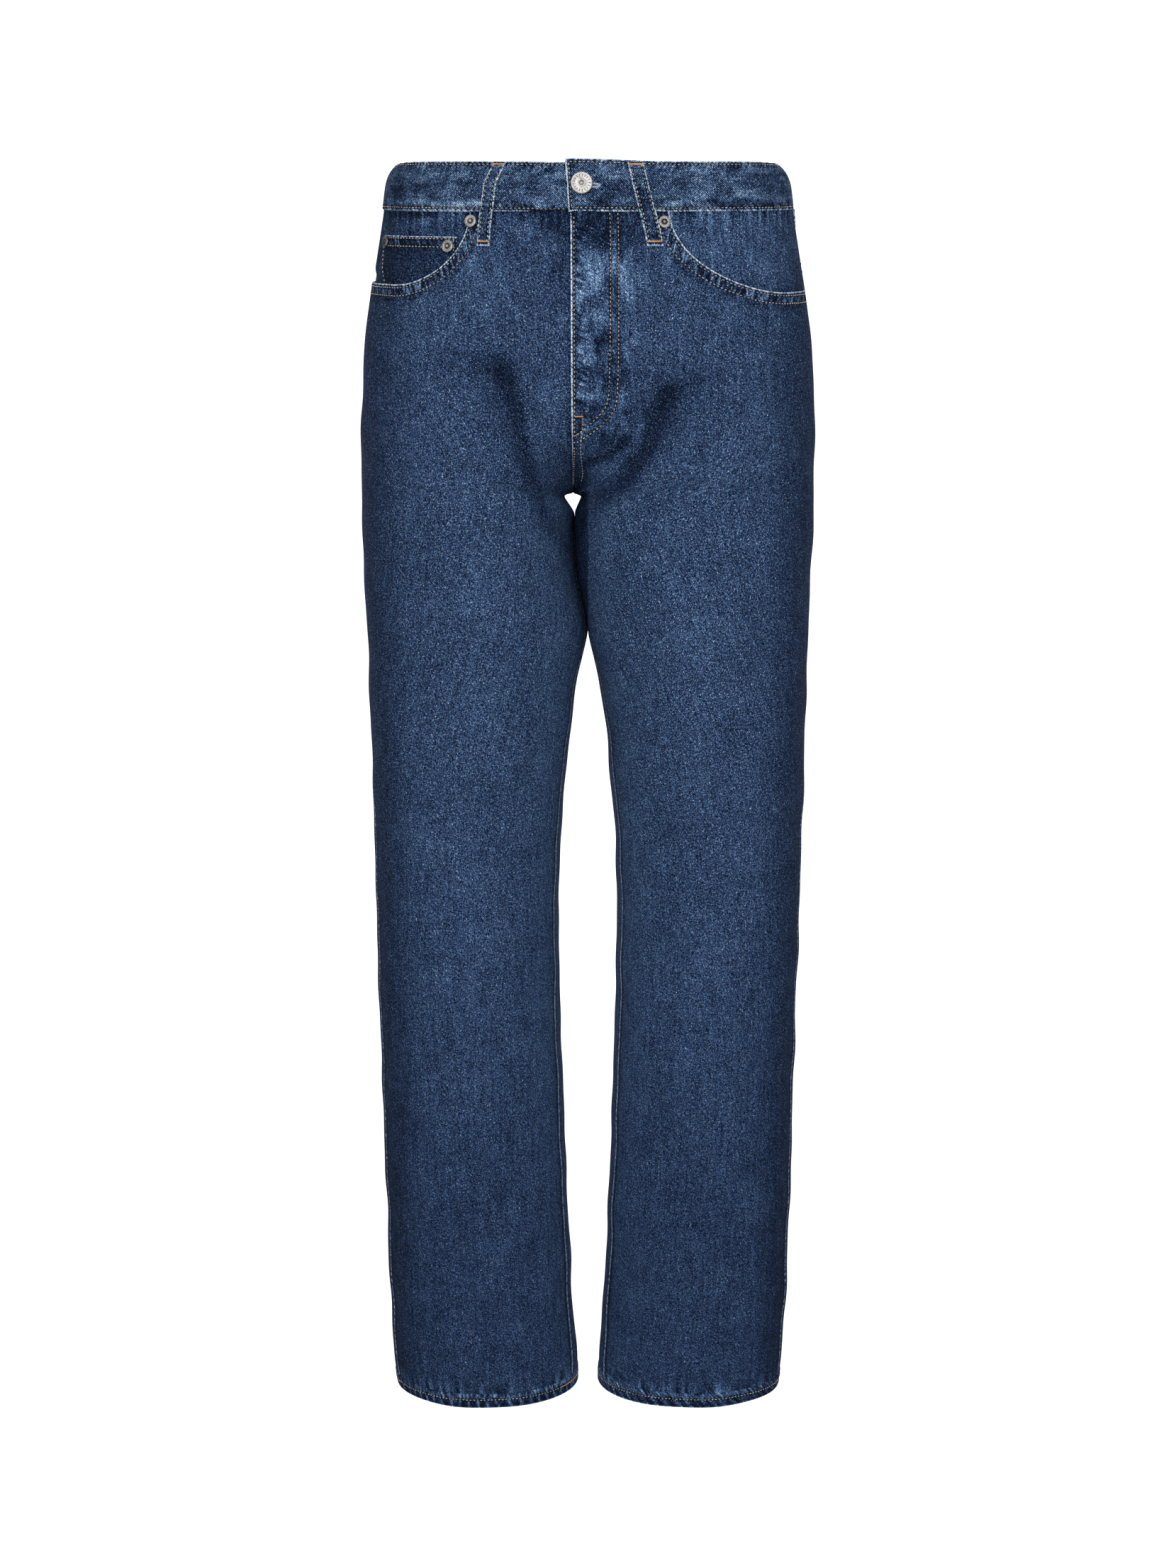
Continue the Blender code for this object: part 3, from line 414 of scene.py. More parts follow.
def bare_point(side, angle, z):
    """The skin's point, with no folds. Heights above the waist seam run up the waistband."""
    seam = seam_height(angle)
    up = np.clip(z - seam, 0.0, None)
    level = np.minimum(z, seam)
    x, y = oval(angle, level)
    x1, y1 = oval(angle + ANGLE_STEP, level)
    x0, y0 = oval(angle - ANGLE_STEP, level)
    along_x, along_y = x1 - x0, y1 - y0
    length = np.maximum(np.hypot(along_x, along_y), TINY)
    out_x, out_y = -along_y / length, along_x / length
    facing = np.sign(out_x * x + out_y * (y - CENTRE_Y))
    out_x, out_y = out_x * facing, out_y * facing
    depth = np.where(y < CENTRE_Y, front_at(level), back_at(level))
    sideways = smooth_step((1 - np.abs(y - CENTRE_Y) / depth - ROLL_START) / (1 - ROLL_START))
    inward, rise = 0.0, 0.0
    for k in range(BAND_STEPS):
        share = up * (k + 0.5) / BAND_STEPS / BAND_HEIGHT
        lean = BAND_LEAN + BAND_ROLL * sideways * share**BAND_ROLL_POWER
        inward = inward + np.sin(lean) * up / BAND_STEPS
        rise = rise + np.cos(lean) * up / BAND_STEPS
    x, y = side * (x - out_x * inward), y - out_y * inward
    return np.stack([turned(x, y, level), y, level + rise], axis=-1)


def skin_normal(side, angle, z):
    """The outward direction of the bare skin."""
    turn = 10 * ANGLE_STEP
    round_it = bare_point(side, angle + turn, z) - bare_point(side, angle - turn, z)
    up_it = bare_point(side, angle, z + HEIGHT_STEP) - bare_point(side, angle, z - HEIGHT_STEP)
    return unit(np.cross(round_it, up_it) * side[..., None])


# %% [markdown]
# ## Folds
# Cloth that is pulled between two points sinks into a valley and stands up beside it.
# Each fold is a line from end to end with a width and a depth. The first ones are the
# large ones that the solids have. The finer ones come from how it is worn: drags under
# the belt loops and rivets, the deep V over the crotch, and creases behind the knees.
# Some come in pairs, so a mark can be mirrored to the other leg.

# %% Folds
Fold = namedtuple("Fold", "face x0 z0 x1 z1 width depth")    # face: -1 front, 1 back


def mirrored(mark):
    """A mark on the cloth, and the same one on the other leg."""
    across = [field for field in mark._fields if field.startswith("x")]
    return mark, mark._replace(**{field: -getattr(mark, field) for field in across})


FOLDS = (
    Fold(-1, -0.022, -0.250, -0.075, -0.165, 0.016, 0.0085),
    Fold(-1, 0.006, -0.250, 0.062, -0.190, 0.016, 0.0085),
    Fold(-1, -0.072, -0.168, -0.108, -0.158, 0.018, 0.0040),
    Fold(-1, 0.060, -0.192, 0.104, -0.168, 0.018, 0.0045),
    Fold(-1, -0.018, -0.290, -0.060, -0.225, 0.013, -0.0035),
    Fold(-1, 0.012, -0.300, 0.052, -0.235, 0.013, -0.0035),
    *mirrored(Fold(-1, -0.128, -0.400, -0.078, -0.530, 0.024, 0.0034)),
    *mirrored(Fold(-1, -0.070, -0.330, -0.100, -0.470, 0.022, -0.0035)),
    *mirrored(Fold(-1, -0.060, -0.780, -0.110, -0.880, 0.022, 0.0030)),
    *mirrored(Fold(1, -0.035, -0.290, -0.115, -0.335, 0.024, 0.0060)),
    *mirrored(Fold(1, -0.050, -0.600, -0.140, -0.560, 0.024, 0.0045)),
    *mirrored(Fold(1, -0.060, -0.680, -0.135, -0.650, 0.024, 0.0040)),
    # the finer ones
    Fold(-1, -0.078, -0.092, -0.060, -0.128, 0.006, -0.0012),
    Fold(-1, -0.070, -0.094, -0.046, -0.122, 0.006, 0.0010),
    Fold(-1, -0.088, -0.088, -0.096, -0.126, 0.007, 0.0010),
    Fold(-1, 0.052, -0.074, 0.047, -0.112, 0.006, -0.0012),
    Fold(-1, 0.060, -0.072, 0.066, -0.106, 0.006, 0.0011),
    Fold(-1, 0.040, -0.078, 0.034, -0.116, 0.007, 0.0010),
    Fold(-1, -0.068, -0.186, -0.054, -0.224, 0.008, 0.0020),
    Fold(-1, -0.054, -0.224, -0.041, -0.254, 0.007, 0.0022),
    Fold(-1, -0.041, -0.254, -0.020, -0.288, 0.007, 0.0024),
    Fold(-1, 0.074, -0.184, 0.056, -0.200, 0.009, 0.0018),
    Fold(-1, 0.056, -0.200, 0.040, -0.225, 0.008, 0.0022),
    Fold(-1, 0.040, -0.225, 0.022, -0.250, 0.007, 0.0022),
    Fold(-1, -0.002, -0.232, 0.032, -0.213, 0.004, 0.0012),
    Fold(-1, 0.008, -0.240, 0.036, -0.221, 0.004, -0.0009),
    Fold(-1, -0.045, -0.205, -0.118, -0.235, 0.012, 0.0012),
    Fold(-1, 0.036, -0.240, 0.112, -0.262, 0.012, 0.0012),
    *mirrored(Fold(-1, -0.150, -0.240, -0.120, -0.330, 0.016, 0.0014)),
    *mirrored(Fold(-1, -0.045, -0.560, -0.100, -0.600, 0.016, 0.0014)),
    *mirrored(Fold(-1, -0.140, -0.620, -0.095, -0.660, 0.016, 0.0014)),
    *mirrored(Fold(-1, -0.145, -0.900, -0.075, -0.950, 0.018, 0.0016)),
    *mirrored(Fold(1, -0.030, -0.190, -0.110, -0.245, 0.014, 0.0016)),
    *mirrored(Fold(1, -0.055, -0.640, -0.125, -0.610, 0.014, -0.0018)),
    *mirrored(Fold(1, -0.070, -0.880, -0.130, -0.940, 0.018, 0.0022)),
)

# %% Waves and the height of the folds
WAVES_TOP_Z = -0.06      # the slow waves fade out over this height, towards the waist
WAVES_EASE = 0.10

# A few long, slow waves keep any stretch of cloth from being perfectly smooth.
chance = np.random.default_rng(7)
WAVE_SIZES = ((0.16, 0.0004), (0.13, 0.00032), (0.10, 0.00025), (0.075, 0.00018), (0.055, 0.00014))
WAVE_STRETCH = np.array([1.0, 0.8, 0.7])
WAVES = [
    (chance.normal(size=3) * WAVE_STRETCH * 2 * math.pi / length, chance.uniform(0, 6.28), height)
    for length, height in WAVE_SIZES
    for _ in range(2)
]


def away_from(x, z, x0, z0, x1, z1):
    """The distance from a short line, and how far along it the nearest point is."""
    run_x, run_z = x1 - x0, z1 - z0
    near = np.clip(((x - x0) * run_x + (z - z0) * run_z) / (run_x**2 + run_z**2), 0.0, 1.0)
    return np.hypot(x - x0 - near * run_x, z - z0 - near * run_z), near


def fold_height(point, normal):
    """How far the folds push the cloth out at a point of the skin."""
    height = np.zeros(point.shape[:-1])
    for fold in FOLDS:
        away, _ = away_from(point[..., 0], point[..., 2], fold.x0, fold.z0, fold.x1, fold.z1)
        facing = np.clip(fold.face * normal[..., 1], 0.0, 1.0)
        height -= fold.depth * facing * np.exp(-((away / fold.width) ** 2))
    return height


def waviness(point):
    """The slow waves, which fade out towards the waist."""
    height = np.zeros(point.shape[:-1])
    for pitch, start, tall in WAVES:
        height += tall * np.sin(point @ pitch + start)
    return height * smooth_step((WAVES_TOP_Z - point[..., 2]) / WAVES_EASE)


print(len(FOLDS), "folds and", len(WAVES), "waves")

# %% Laying a point on the skin
SEAM_CALM = 0.012
TOUCH_FOOT_Z = -0.375        # down to here the thighs touch
TOUCH_EASE = 0.06
Laid = namedtuple("Laid", "point normal folds")


def lay(side, angle, z, lift=0.0, rise=0.0):
    """Points of the garment's outer face, moved out by lift and rise, with the folds."""
    side, angle, z, lift, rise = np.broadcast_arrays(
        *(np.asarray(value, float) for value in (side, angle, z, lift, rise))
    )
    point, normal = bare_point(side, angle, z), skin_normal(side, angle, z)
    from_middle = np.abs(point[..., 0] + shift_at(point[..., 2]))
    apart = np.maximum(smooth_step(from_middle / SEAM_CALM), smooth_step((TOUCH_FOOT_Z - z) / TOUCH_EASE))
    push = normal * np.stack([apart, np.ones_like(z), np.ones_like(z)], axis=-1)
    folds = fold_height(point, normal)
    raised = folds + waviness(point) + rise
    return Laid(point + normal * lift[..., None] + push * raised[..., None], normal, folds)


# %% [markdown]
# ## Places on the cloth
# A tailor measures along the cloth, not round an angle. These helpers turn a distance
# across a panel, or a share of its width, into an angle at each height.

# %% Places on the cloth
SAMPLES = 64


def spread(start, end, share, z):
    """The angle a share of the way from start to end along the cloth, and the length."""
    start, end, share, z = np.broadcast_arrays(start, end, share, z)
    steps = np.linspace(0.0, 1.0, SAMPLES)
    angles = start[..., None] + (end - start)[..., None] * steps
    x, y = oval(angles, z[..., None] + 0 * angles)
    lengths = np.hypot(np.diff(x, axis=-1), np.diff(y, axis=-1))
    run = np.concatenate([np.zeros(x.shape[:-1] + (1,)), np.cumsum(lengths, axis=-1)], -1)
    wanted = share * run[..., -1]
    i = np.clip((run <= wanted[..., None]).sum(-1) - 1, 0, SAMPLES - 2)[..., None]
    low = np.take_along_axis(run, i, -1)[..., 0]
    high = np.take_along_axis(run, i + 1, -1)[..., 0]
    part = (i[..., 0] + (wanted - low) / np.maximum(high - low, TINY)) / (SAMPLES - 1)
    return start + (end - start) * part, run[..., -1]


def panel_edges(side, z, back):
    """The angles at which a panel starts, at the middle or the inseam, and ends."""
    inseam = np.radians(inseam_at(z))
    out = np.radians(out_left_at(z) if side > 0 else out_right_at(z))
    middle = middle_angle(z)
    if back:
        return np.where(z > CROTCH_Z, -middle, inseam), out - 2 * math.pi
    return np.where(z > CROTCH_Z, middle, inseam), out


def panel_width(side, z, back=False):
    """The angle where a panel starts, where it ends, and its width, at each height."""
    start, end = panel_edges(side, z, back)
    return start, end, spread(start, end, np.ones_like(z), z)[1]


def on_panel(side, share, z, back=False):
    """The angle a share of the way across a panel, and how far across the cloth that is."""
    start, end, width = panel_width(side, z, back)
    along = share * width
    return spread(start, end, along / width, z)[0], along


def seam_over(side, share, z, back=False):
    """The height of the waist seam straight above a share of a panel at one height."""
    return seam_height(on_panel(side, share, np.full_like(share, z), back)[0])


def across_to(side, across, z, back=False):
    """The angle at a distance across a panel's cloth from its inner edge."""
    start, end, width = panel_width(side, z, back)
    return spread(start, end, across / width, z)[0]


def on_face(across, z, back=False):
    """The angle at a distance across the cloth from the middle of the front or back."""
    turn = -1.0 if back else 1.0
    start, end = turn * middle_angle(z), np.full(np.shape(z), turn * 1.2 * math.pi)
    length = spread(start, end, np.ones_like(z), z)[1]
    return spread(start, end, np.abs(across) / length, z)[0]


RING_Z = -0.030          # where the waist is measured


def half_waist(share=1.0):
    """The angle a share of the way from mid front to mid back, and the length of that way."""
    share = np.asarray(share, float)
    start, z = np.full(share.shape, math.pi / 2), np.full(share.shape, RING_Z)
    return spread(start, start + math.pi, share, z)


def round_waist(arc):
    """The side and angle at a distance round the waist, from the middle of the front."""
    half = float(half_waist()[1])
    wrapped = np.mod(arc, 2 * half)
    left = wrapped <= half
    return np.where(left, 1.0, -1.0), half_waist(np.where(left, wrapped, 2 * half - wrapped) / half)[0]


WAIST_ROUND = 2 * float(half_waist()[1])
print("the waist is", round(WAIST_ROUND, 4), "m round")

# %% [markdown]
# ## Denim
# Denim is a twill: dark blue threads run down it and paler ones across, and the dark ones
# lie on top in slanting ribs about a millimetre apart. Washing leaves light flecks, uneven
# threads that run down the leg, and cloudy patches. A folded edge rubs almost white, and
# where two rows of stitches gather the cloth it puckers, so that crests wear light and
# hollows stay dark. The shader mixes one number, how light the cloth is, from all of
# these, and from painted shade: a dark line along each row of stitches and one just inside
# each folded edge. Each piece also gives how much lighter or darker its cloth is, from
# fading by wear and from painted light and shade. A ramp turns the number into a colour.
# The pieces tell it where their edges and stitches are through attributes, which hold
# distances in metres.

# %% Material tools


def add(tree, kind, inputs=None, **settings):
    """Adds a node, sets it up, and links or sets its inputs."""
    node = tree.nodes.new(kind)
    for key, value in settings.items():
        setattr(node, key, value)
    for key, value in (inputs or {}).items():
        if isinstance(value, bpy.types.NodeSocket):
            tree.links.new(value, node.inputs[key])
        else:
            node.inputs[key].default_value = value
    return node


def calc(tree, operation, a, b=0.0, c=0.0):
    return add(tree, "ShaderNodeMath", {0: a, 1: b, 2: c}, operation=operation).outputs[0]


def noise(tree, where, size, detail=2.0, stretch=(1.0, 1.0, 1.0)):
    """Cloudy noise with patches of a size in metres, about zero."""
    scale = tuple(value / size for value in stretch)
    spot = add(tree, "ShaderNodeMapping", {"Vector": where, "Scale": scale}).outputs[0]
    cloud = add(tree, "ShaderNodeTexNoise", {"Vector": spot, "Scale": 1.0, "Detail": detail})
    return calc(tree, "SUBTRACT", cloud.outputs[0], 0.5)


def distance(tree, name):
    """What a piece says of itself at each point."""
    return add(tree, "ShaderNodeAttribute", attribute_name=name).outputs["Fac"]


def fading(tree, value, start, end):
    """1 up to start, falling to 0 at end."""
    settings = {"Value": value, "From Min": start, "From Max": end, "To Min": 1.0, "To Max": 0.0}
    return add(tree, "ShaderNodeMapRange", settings, interpolation_type="SMOOTHSTEP").outputs[0]


def weigh(tree, *terms):
    """The sum of (value, weight) terms."""
    total = 0.0
    for value, weight in terms:
        total = calc(tree, "MULTIPLY_ADD", value, weight, total)
    return total


def blank_stuff(name, rough):
    """A new material, its nodes and its shader."""
    stuff = bpy.data.materials.new(name)
    stuff.use_nodes = True
    shader = stuff.node_tree.nodes["Principled BSDF"]
    shader.inputs["Roughness"].default_value = rough
    return stuff, stuff.node_tree, shader


def relief(tree, shader, height, strength, depth):
    """Raises and sinks the surface by a height, for what is too fine to model."""
    bump = add(tree, "ShaderNodeBump", {"Height": height, "Strength": strength, "Distance": depth})
    tree.links.new(bump.outputs[0], shader.inputs["Normal"])


# %% Denim
TWILL_PITCH = 0.00125
TWILL_ANGLE = math.radians(45)
LADDER_PITCH = 0.0029    # from one pucker to the next along a seam
ROW_APART = 0.0064       # between the two rows of a double seam
FLECK = 0.00062
USUAL_LEVEL = 0.362      # how light the cloth is where nothing has happened to it
INNER_PALE = 0.55        # the pale threads lie on top on the inner side

DENIM_RAMP = (
    (0.00, tint(8, 15, 29)),
    (0.20, tint(22, 34, 55)),
    (0.40, tint(42, 58, 89)),
    (0.60, tint(64, 86, 122)),
    (0.80, tint(92, 120, 158)),
    (1.00, tint(120, 154, 190)),
    (1.20, tint(170, 196, 220)),
    (1.40, tint(226, 236, 244)),
)
LIGHTEST = DENIM_RAMP[-1][0]


def denim(name, lightness):
    stuff, tree, shader = blank_stuff(name, 0.92)
    shader.inputs["Specular IOR Level"].default_value = 0.03
    place = add(tree, "ShaderNodeTexCoord").outputs["Object"]
    flat = add(tree, "ShaderNodeUVMap", uv_map="cloth").outputs["UV"]
    slanted = add(tree, "ShaderNodeMapping", {"Vector": flat, "Rotation": (0, 0, TWILL_ANGLE)}).outputs[0]

    flecks = noise(tree, place, FLECK, 0.0, (1.0, 1.0, 0.6))
    fine = noise(tree, slanted, FLECK, 0.0, (1.0, 0.42, 1.0))
    grain = noise(tree, place, 0.0026, 2.0)
    slubs = noise(tree, flat, 0.0024, 2.0, (1.0, 0.05, 1.0))
    clouds = noise(tree, place, 0.024, 3.0)
    blots = noise(tree, flat, 0.0060, 3.0, (1.0, 0.42, 1.0))
    sparse = noise(tree, place, 0.0008, 1.0, (1.0, 1.0, 0.7))
    glints = calc(tree, "MAXIMUM", calc(tree, "SUBTRACT", sparse, 0.11), 0.0)

    wave = {
        "Vector": slanted, "Scale": math.pi / 10 / TWILL_PITCH,
        "Distortion": 1.0, "Detail": 1.0, "Detail Scale": 0.4,
    }
    ribs = add(tree, "ShaderNodeTexWave", wave, bands_direction="X").outputs["Fac"]
    twill = calc(tree, "MULTIPLY", calc(tree, "SUBTRACT", ribs, 0.5), distance(tree, "rib"))

    edge, fade, gather = (distance(tree, key) for key in ("edge", "fade", "gather"))
    slant = calc(tree, "MULTIPLY_ADD", edge, 0.5, distance(tree, "walk"))
    rung = add(tree, "ShaderNodeCombineXYZ", {0: slant, 1: calc(tree, "MULTIPLY", edge, 0.3)}).outputs[0]
    ladder = noise(tree, rung, LADDER_PITCH, 1.0)
    puckers = calc(tree, "MULTIPLY", gather, ladder)

    pair = calc(tree, "ABSOLUTE", distance(tree, "pair"))
    row = calc(tree, "ABSOLUTE", distance(tree, "row"))
    off_pair = calc(tree, "ABSOLUTE", calc(tree, "SUBTRACT", pair, ROW_APART / 2))
    # painted shade: groove darkens each row of stitches, and shaded a line just inside each folded edge;
    # groove also sinks the rows in the bump
    groove = fading(tree, calc(tree, "MINIMUM", off_pair, row), 0.0005, 0.0012)
    worn = weigh(tree, (flecks, 1.2), (ladder, 1.9), (1.0, 0.66))
    rubbed = calc(tree, "MULTIPLY", fading(tree, edge, 0.0004, 0.0018), worn)
    rubbed = calc(tree, "MULTIPLY", rubbed, distance(tree, "rub"))
    shaded = fading(tree, calc(tree, "ABSOLUTE", calc(tree, "SUBTRACT", edge, 0.0025)), 0.0003, 0.0015)

    mottle = distance(tree, "mottle")
    weave = weigh(tree, (flecks, 1.5), (fine, 1.0), (grain, 0.30), (glints, 3.8))
    level = weigh(
        tree, (calc(tree, "MULTIPLY", weave, distance(tree, "bite")), 1.0), (slubs, 0.30), (twill, 1.0),
        (calc(tree, "MULTIPLY", clouds, mottle), 1.2), (calc(tree, "MULTIPLY", blots, mottle), 1.3),
        (puckers, 2.1), (fade, 1.0), (groove, -0.26), (rubbed, 1.45), (shaded, -0.12), (1.0, lightness),
    )
    ramp = add(tree, "ShaderNodeValToRGB", {"Fac": calc(tree, "DIVIDE", level, LIGHTEST)})
    for k, (light, colour) in enumerate(DENIM_RAMP):
        stops = ramp.color_ramp.elements
        stop = stops[k] if k < 2 else stops.new(light / LIGHTEST)
        stop.position, stop.color = light / LIGHTEST, colour
    inner = calc(tree, "MULTIPLY", distance(tree, "inner"), INNER_PALE)
    sides = {"Factor": inner, 6: ramp.outputs[0], 7: tint(118, 128, 146)}
    pale = add(tree, "ShaderNodeMix", sides, data_type="RGBA")
    tree.links.new(pale.outputs[2], shader.inputs["Base Color"])

    height = weigh(tree, (twill, 2.0), (flecks, 1.3), (fine, 0.8), (groove, -1.4), (puckers, 3.2))
    relief(tree, shader, height, 0.5, 0.0004)
    return stuff


DENIM_STUFF = denim("washed denim", USUAL_LEVEL)
print("denim has", len(DENIM_STUFF.node_tree.nodes), "nodes")

# %% [markdown]
# ## Where it has faded, and painted light and shade
# Wear isn't even. The fly, the thighs and the knees have faded, and the lower legs are
# darker. Painted shade darkens the sides of the legs, each valley of a fold, and the cloth
# under the waistband and the belt loops and between the thighs, and painted light brightens
# the lit sides of folds and drags and the inner sides of the legs. Each patch is an
# ellipse on the front or back, given as its middle, its half sizes and how much lighter it
# is.

# %% Fading
Patch = namedtuple("Patch", "face x z wide high amount")
PATCHES = (
    # the fly, from the top down
    Patch(-1, 0.010, -0.052, 0.024, 0.012, -0.26),
    Patch(-1, 0.005, -0.088, 0.013, 0.016, 0.23),
    Patch(-1, 0.0295, -0.100, 0.006, 0.024, 0.26),
    Patch(-1, 0.033, -0.128, 0.005, 0.012, 0.18),
    Patch(-1, 0.005, -0.1186, 0.013, 0.011, 0.28),
    Patch(-1, 0.011, -0.1426, 0.010, 0.007, -0.23),
    Patch(-1, -0.003, -0.1470, 0.006, 0.008, 0.18),
    Patch(-1, 0.009, -0.1677, 0.009, 0.009, -0.23),
    Patch(-1, 0.003, -0.1808, 0.013, 0.0045, 0.25),
    Patch(-1, 0.011, -0.1907, 0.010, 0.007, -0.26),
    Patch(-1, 0.014, -0.2125, 0.013, 0.006, -0.21),
    # left of the fly, under the waistband: painted shade
    Patch(-1, -0.027, -0.0480, 0.012, 0.006, -0.13),
    Patch(-1, -0.024, -0.085, 0.008, 0.030, -0.05),
    # where the loops and rivets pull: painted highlights on the drags, and painted shade under the loops
    Patch(-1, -0.094, -0.078, 0.008, 0.010, 0.14),
    Patch(-1, -0.0615, -0.062, 0.0035, 0.012, -0.16),
    Patch(-1, -0.078, -0.108, 0.007, 0.018, 0.08),
    Patch(-1, -0.088, -0.082, 0.005, 0.018, 0.10),
    Patch(-1, 0.063, -0.076, 0.0045, 0.014, 0.24),
    Patch(-1, 0.045, -0.098, 0.004, 0.024, 0.10),
    Patch(-1, 0.036, -0.060, 0.010, 0.012, -0.12),
    Patch(-1, 0.076, -0.100, 0.004, 0.016, 0.07),
    # thighs and knees
    Patch(-1, -0.035, -0.190, 0.020, 0.040, 0.06),
    Patch(-1, -0.105, -0.125, 0.040, 0.030, 0.03),
    Patch(-1, 0.090, -0.130, 0.040, 0.030, 0.03),
    Patch(-1, -0.110, -0.240, 0.035, 0.050, 0.02),
    Patch(-1, 0.110, -0.240, 0.035, 0.050, 0.03),
    Patch(-1, -0.095, -0.360, 0.042, 0.130, 0.030),
    Patch(-1, 0.095, -0.360, 0.042, 0.130, 0.035),
    Patch(-1, -0.095, -0.600, 0.034, 0.120, 0.055),
    Patch(-1, 0.095, -0.600, 0.034, 0.120, 0.050),
    *mirrored(Patch(-1, -0.090, -0.760, 0.030, 0.100, 0.030)),
    *mirrored(Patch(-1, -0.090, -0.930, 0.034, 0.060, 0.030)),
    # the middle, above and beside the crotch: painted shade between the thighs
    Patch(-1, -0.0115, -0.252, 0.014, 0.010, -0.14),
    Patch(-1, -0.024, -0.240, 0.009, 0.014, -0.10),
    # the seat and the backs of the thighs
    *mirrored(Patch(1, -0.085, -0.220, 0.055, 0.070, 0.05)),
    *mirrored(Patch(1, -0.100, -0.420, 0.045, 0.110, 0.025)),
)
# How strong the weave is and how light the cloth is, by height.
BITE_BY_HEIGHT = ((-1.02, 0.72), (-0.80, 0.78), (-0.55, 0.92), (-0.40, 1.0))
FADE_BY_HEIGHT = ((-1.02, -0.075), (-0.85, -0.055), (-0.70, -0.025), (-0.45, 0.0), (0.05, 0.0))

# %% Creases
# A crease is a line of points (x, z, half width). Along most of them the colour carries painted shade, in a
# fold's valley, and painted light, on its lit side.
Crease = namedtuple("Crease", "face amount points")
CREASES = (
    # painted shade in the two valleys that run down into the crotch and between the thighs, and painted light
    # on their lit sides
    Crease(-1, -0.10, ((-0.100, -0.152, 0.007), (-0.0680, -0.1620, 0.009))),
    Crease(-1, -0.21, ((-0.0660, -0.1620, 0.008), (-0.0570, -0.1860, 0.009), (-0.0515, -0.2150, 0.009),
                       (-0.0430, -0.2490, 0.009), (-0.0306, -0.2800, 0.007), (-0.0160, -0.3030, 0.005))),
    Crease(-1, 0.08, ((-0.050, -0.180, 0.003), (-0.0420, -0.215, 0.004), (-0.034, -0.246, 0.0035))),
    Crease(-1, -0.10, ((0.088, -0.168, 0.007), (0.0660, -0.1760, 0.009))),
    Crease(-1, -0.21, ((0.0640, -0.1780, 0.008), (0.0540, -0.200, 0.009), (0.0470, -0.220, 0.010),
                       (0.0380, -0.2336, 0.009), (0.0262, -0.249, 0.008), (0.0042, -0.2645, 0.006),
                       (-0.006, -0.282, 0.005))),
    Crease(-1, 0.08, ((0.042, -0.200, 0.004), (0.034, -0.221, 0.004), (0.020, -0.238, 0.0035))),
    Crease(-1, -0.30, ((-0.004, -0.2330, 0.003), (0.015, -0.2275, 0.0032), (0.031, -0.2140, 0.004))),
    Crease(-1, 0.07, ((0.006, -0.240, 0.003), (0.018, -0.236, 0.003))),
    Crease(-1, -0.14, ((-0.026, -0.252, 0.004), (-0.014, -0.262, 0.004))),
    Crease(-1, -0.10, ((-0.011, -0.275, 0.004), (-0.0115, -0.300, 0.003), (-0.006, -0.330, 0.003),
                       (-0.001, -0.352, 0.004))),
    # painted highlights on the drags from the loops towards the fly, and painted shade beside them
    Crease(-1, 0.12, ((-0.0690, -0.0440, 0.0022), (-0.0600, -0.0520, 0.0025), (-0.0500, -0.0600, 0.0020))),
    Crease(-1, 0.09, ((-0.0600, -0.0420, 0.0018), (-0.0450, -0.0540, 0.0025))),
    Crease(-1, -0.12, ((-0.0360, -0.0410, 0.004), (-0.0220, -0.0500, 0.004), (-0.0140, -0.0620, 0.003))),
    Crease(-1, 0.08, ((-0.0760, -0.0700, 0.0030), (-0.0640, -0.1000, 0.0035), (-0.0520, -0.1250, 0.003))),
    # above the knees
    Crease(-1, 0.05, ((-0.150, -0.520, 0.012), (-0.118, -0.545, 0.014))),
    Crease(-1, 0.05, ((0.146, -0.530, 0.012), (0.120, -0.545, 0.014))),
    # along the waistband
    Crease(-1, 0.28, ((-0.159, -0.0245, 0.0022), (-0.120, -0.0295, 0.0026), (-0.080, -0.0325, 0.0020))),
    Crease(-1, -0.15, ((-0.165, -0.0120, 0.0060), (-0.120, -0.0180, 0.0070), (-0.086, -0.0220, 0.0050))),
    Crease(-1, 0.26, ((0.050, -0.0370, 0.0020), (0.0756, -0.0290, 0.0028), (0.0972, -0.0230, 0.0024))),
    Crease(-1, 0.30, ((0.1152, -0.0218, 0.0022), (0.135, -0.0215, 0.0028), (0.1565, -0.0230, 0.0022))),
    Crease(-1, -0.17, ((0.095, -0.0310, 0.0040), (0.157, -0.0275, 0.0040))),
    Crease(-1, -0.20, ((0.012, -0.026, 0.006), (0.026, -0.021, 0.008), (0.043, -0.028, 0.006))),
    Crease(-1, 0.12, ((0.019, -0.0105, 0.004), (0.038, -0.0080, 0.004))),
    Crease(-1, 0.08, ((-0.010, -0.033, 0.004), (0.030, -0.031, 0.004))),
    # the shadow of the waistband and folds across the pocket's facing
    Crease(-1, -0.22, ((-0.172, -0.0320, 0.0030), (-0.138, -0.0370, 0.0030), (-0.120, -0.0385, 0.0015))),
    Crease(-1, 0.09, ((-0.150, -0.0440, 0.0040), (-0.118, -0.0400, 0.0030), (-0.100, -0.0410, 0.0030))),
    # painted shade in the creases behind the knees
    Crease(1, -0.10, ((-0.050, -0.600, 0.010), (-0.140, -0.560, 0.012))),
    Crease(1, -0.10, ((0.050, -0.600, 0.010), (0.140, -0.560, 0.012))),
    Crease(1, -0.08, ((-0.060, -0.680, 0.010), (-0.135, -0.650, 0.012))),
    Crease(1, -0.08, ((0.060, -0.680, 0.010), (0.135, -0.650, 0.012))),
)
print(len(PATCHES), "patches and", len(CREASES), "creases")

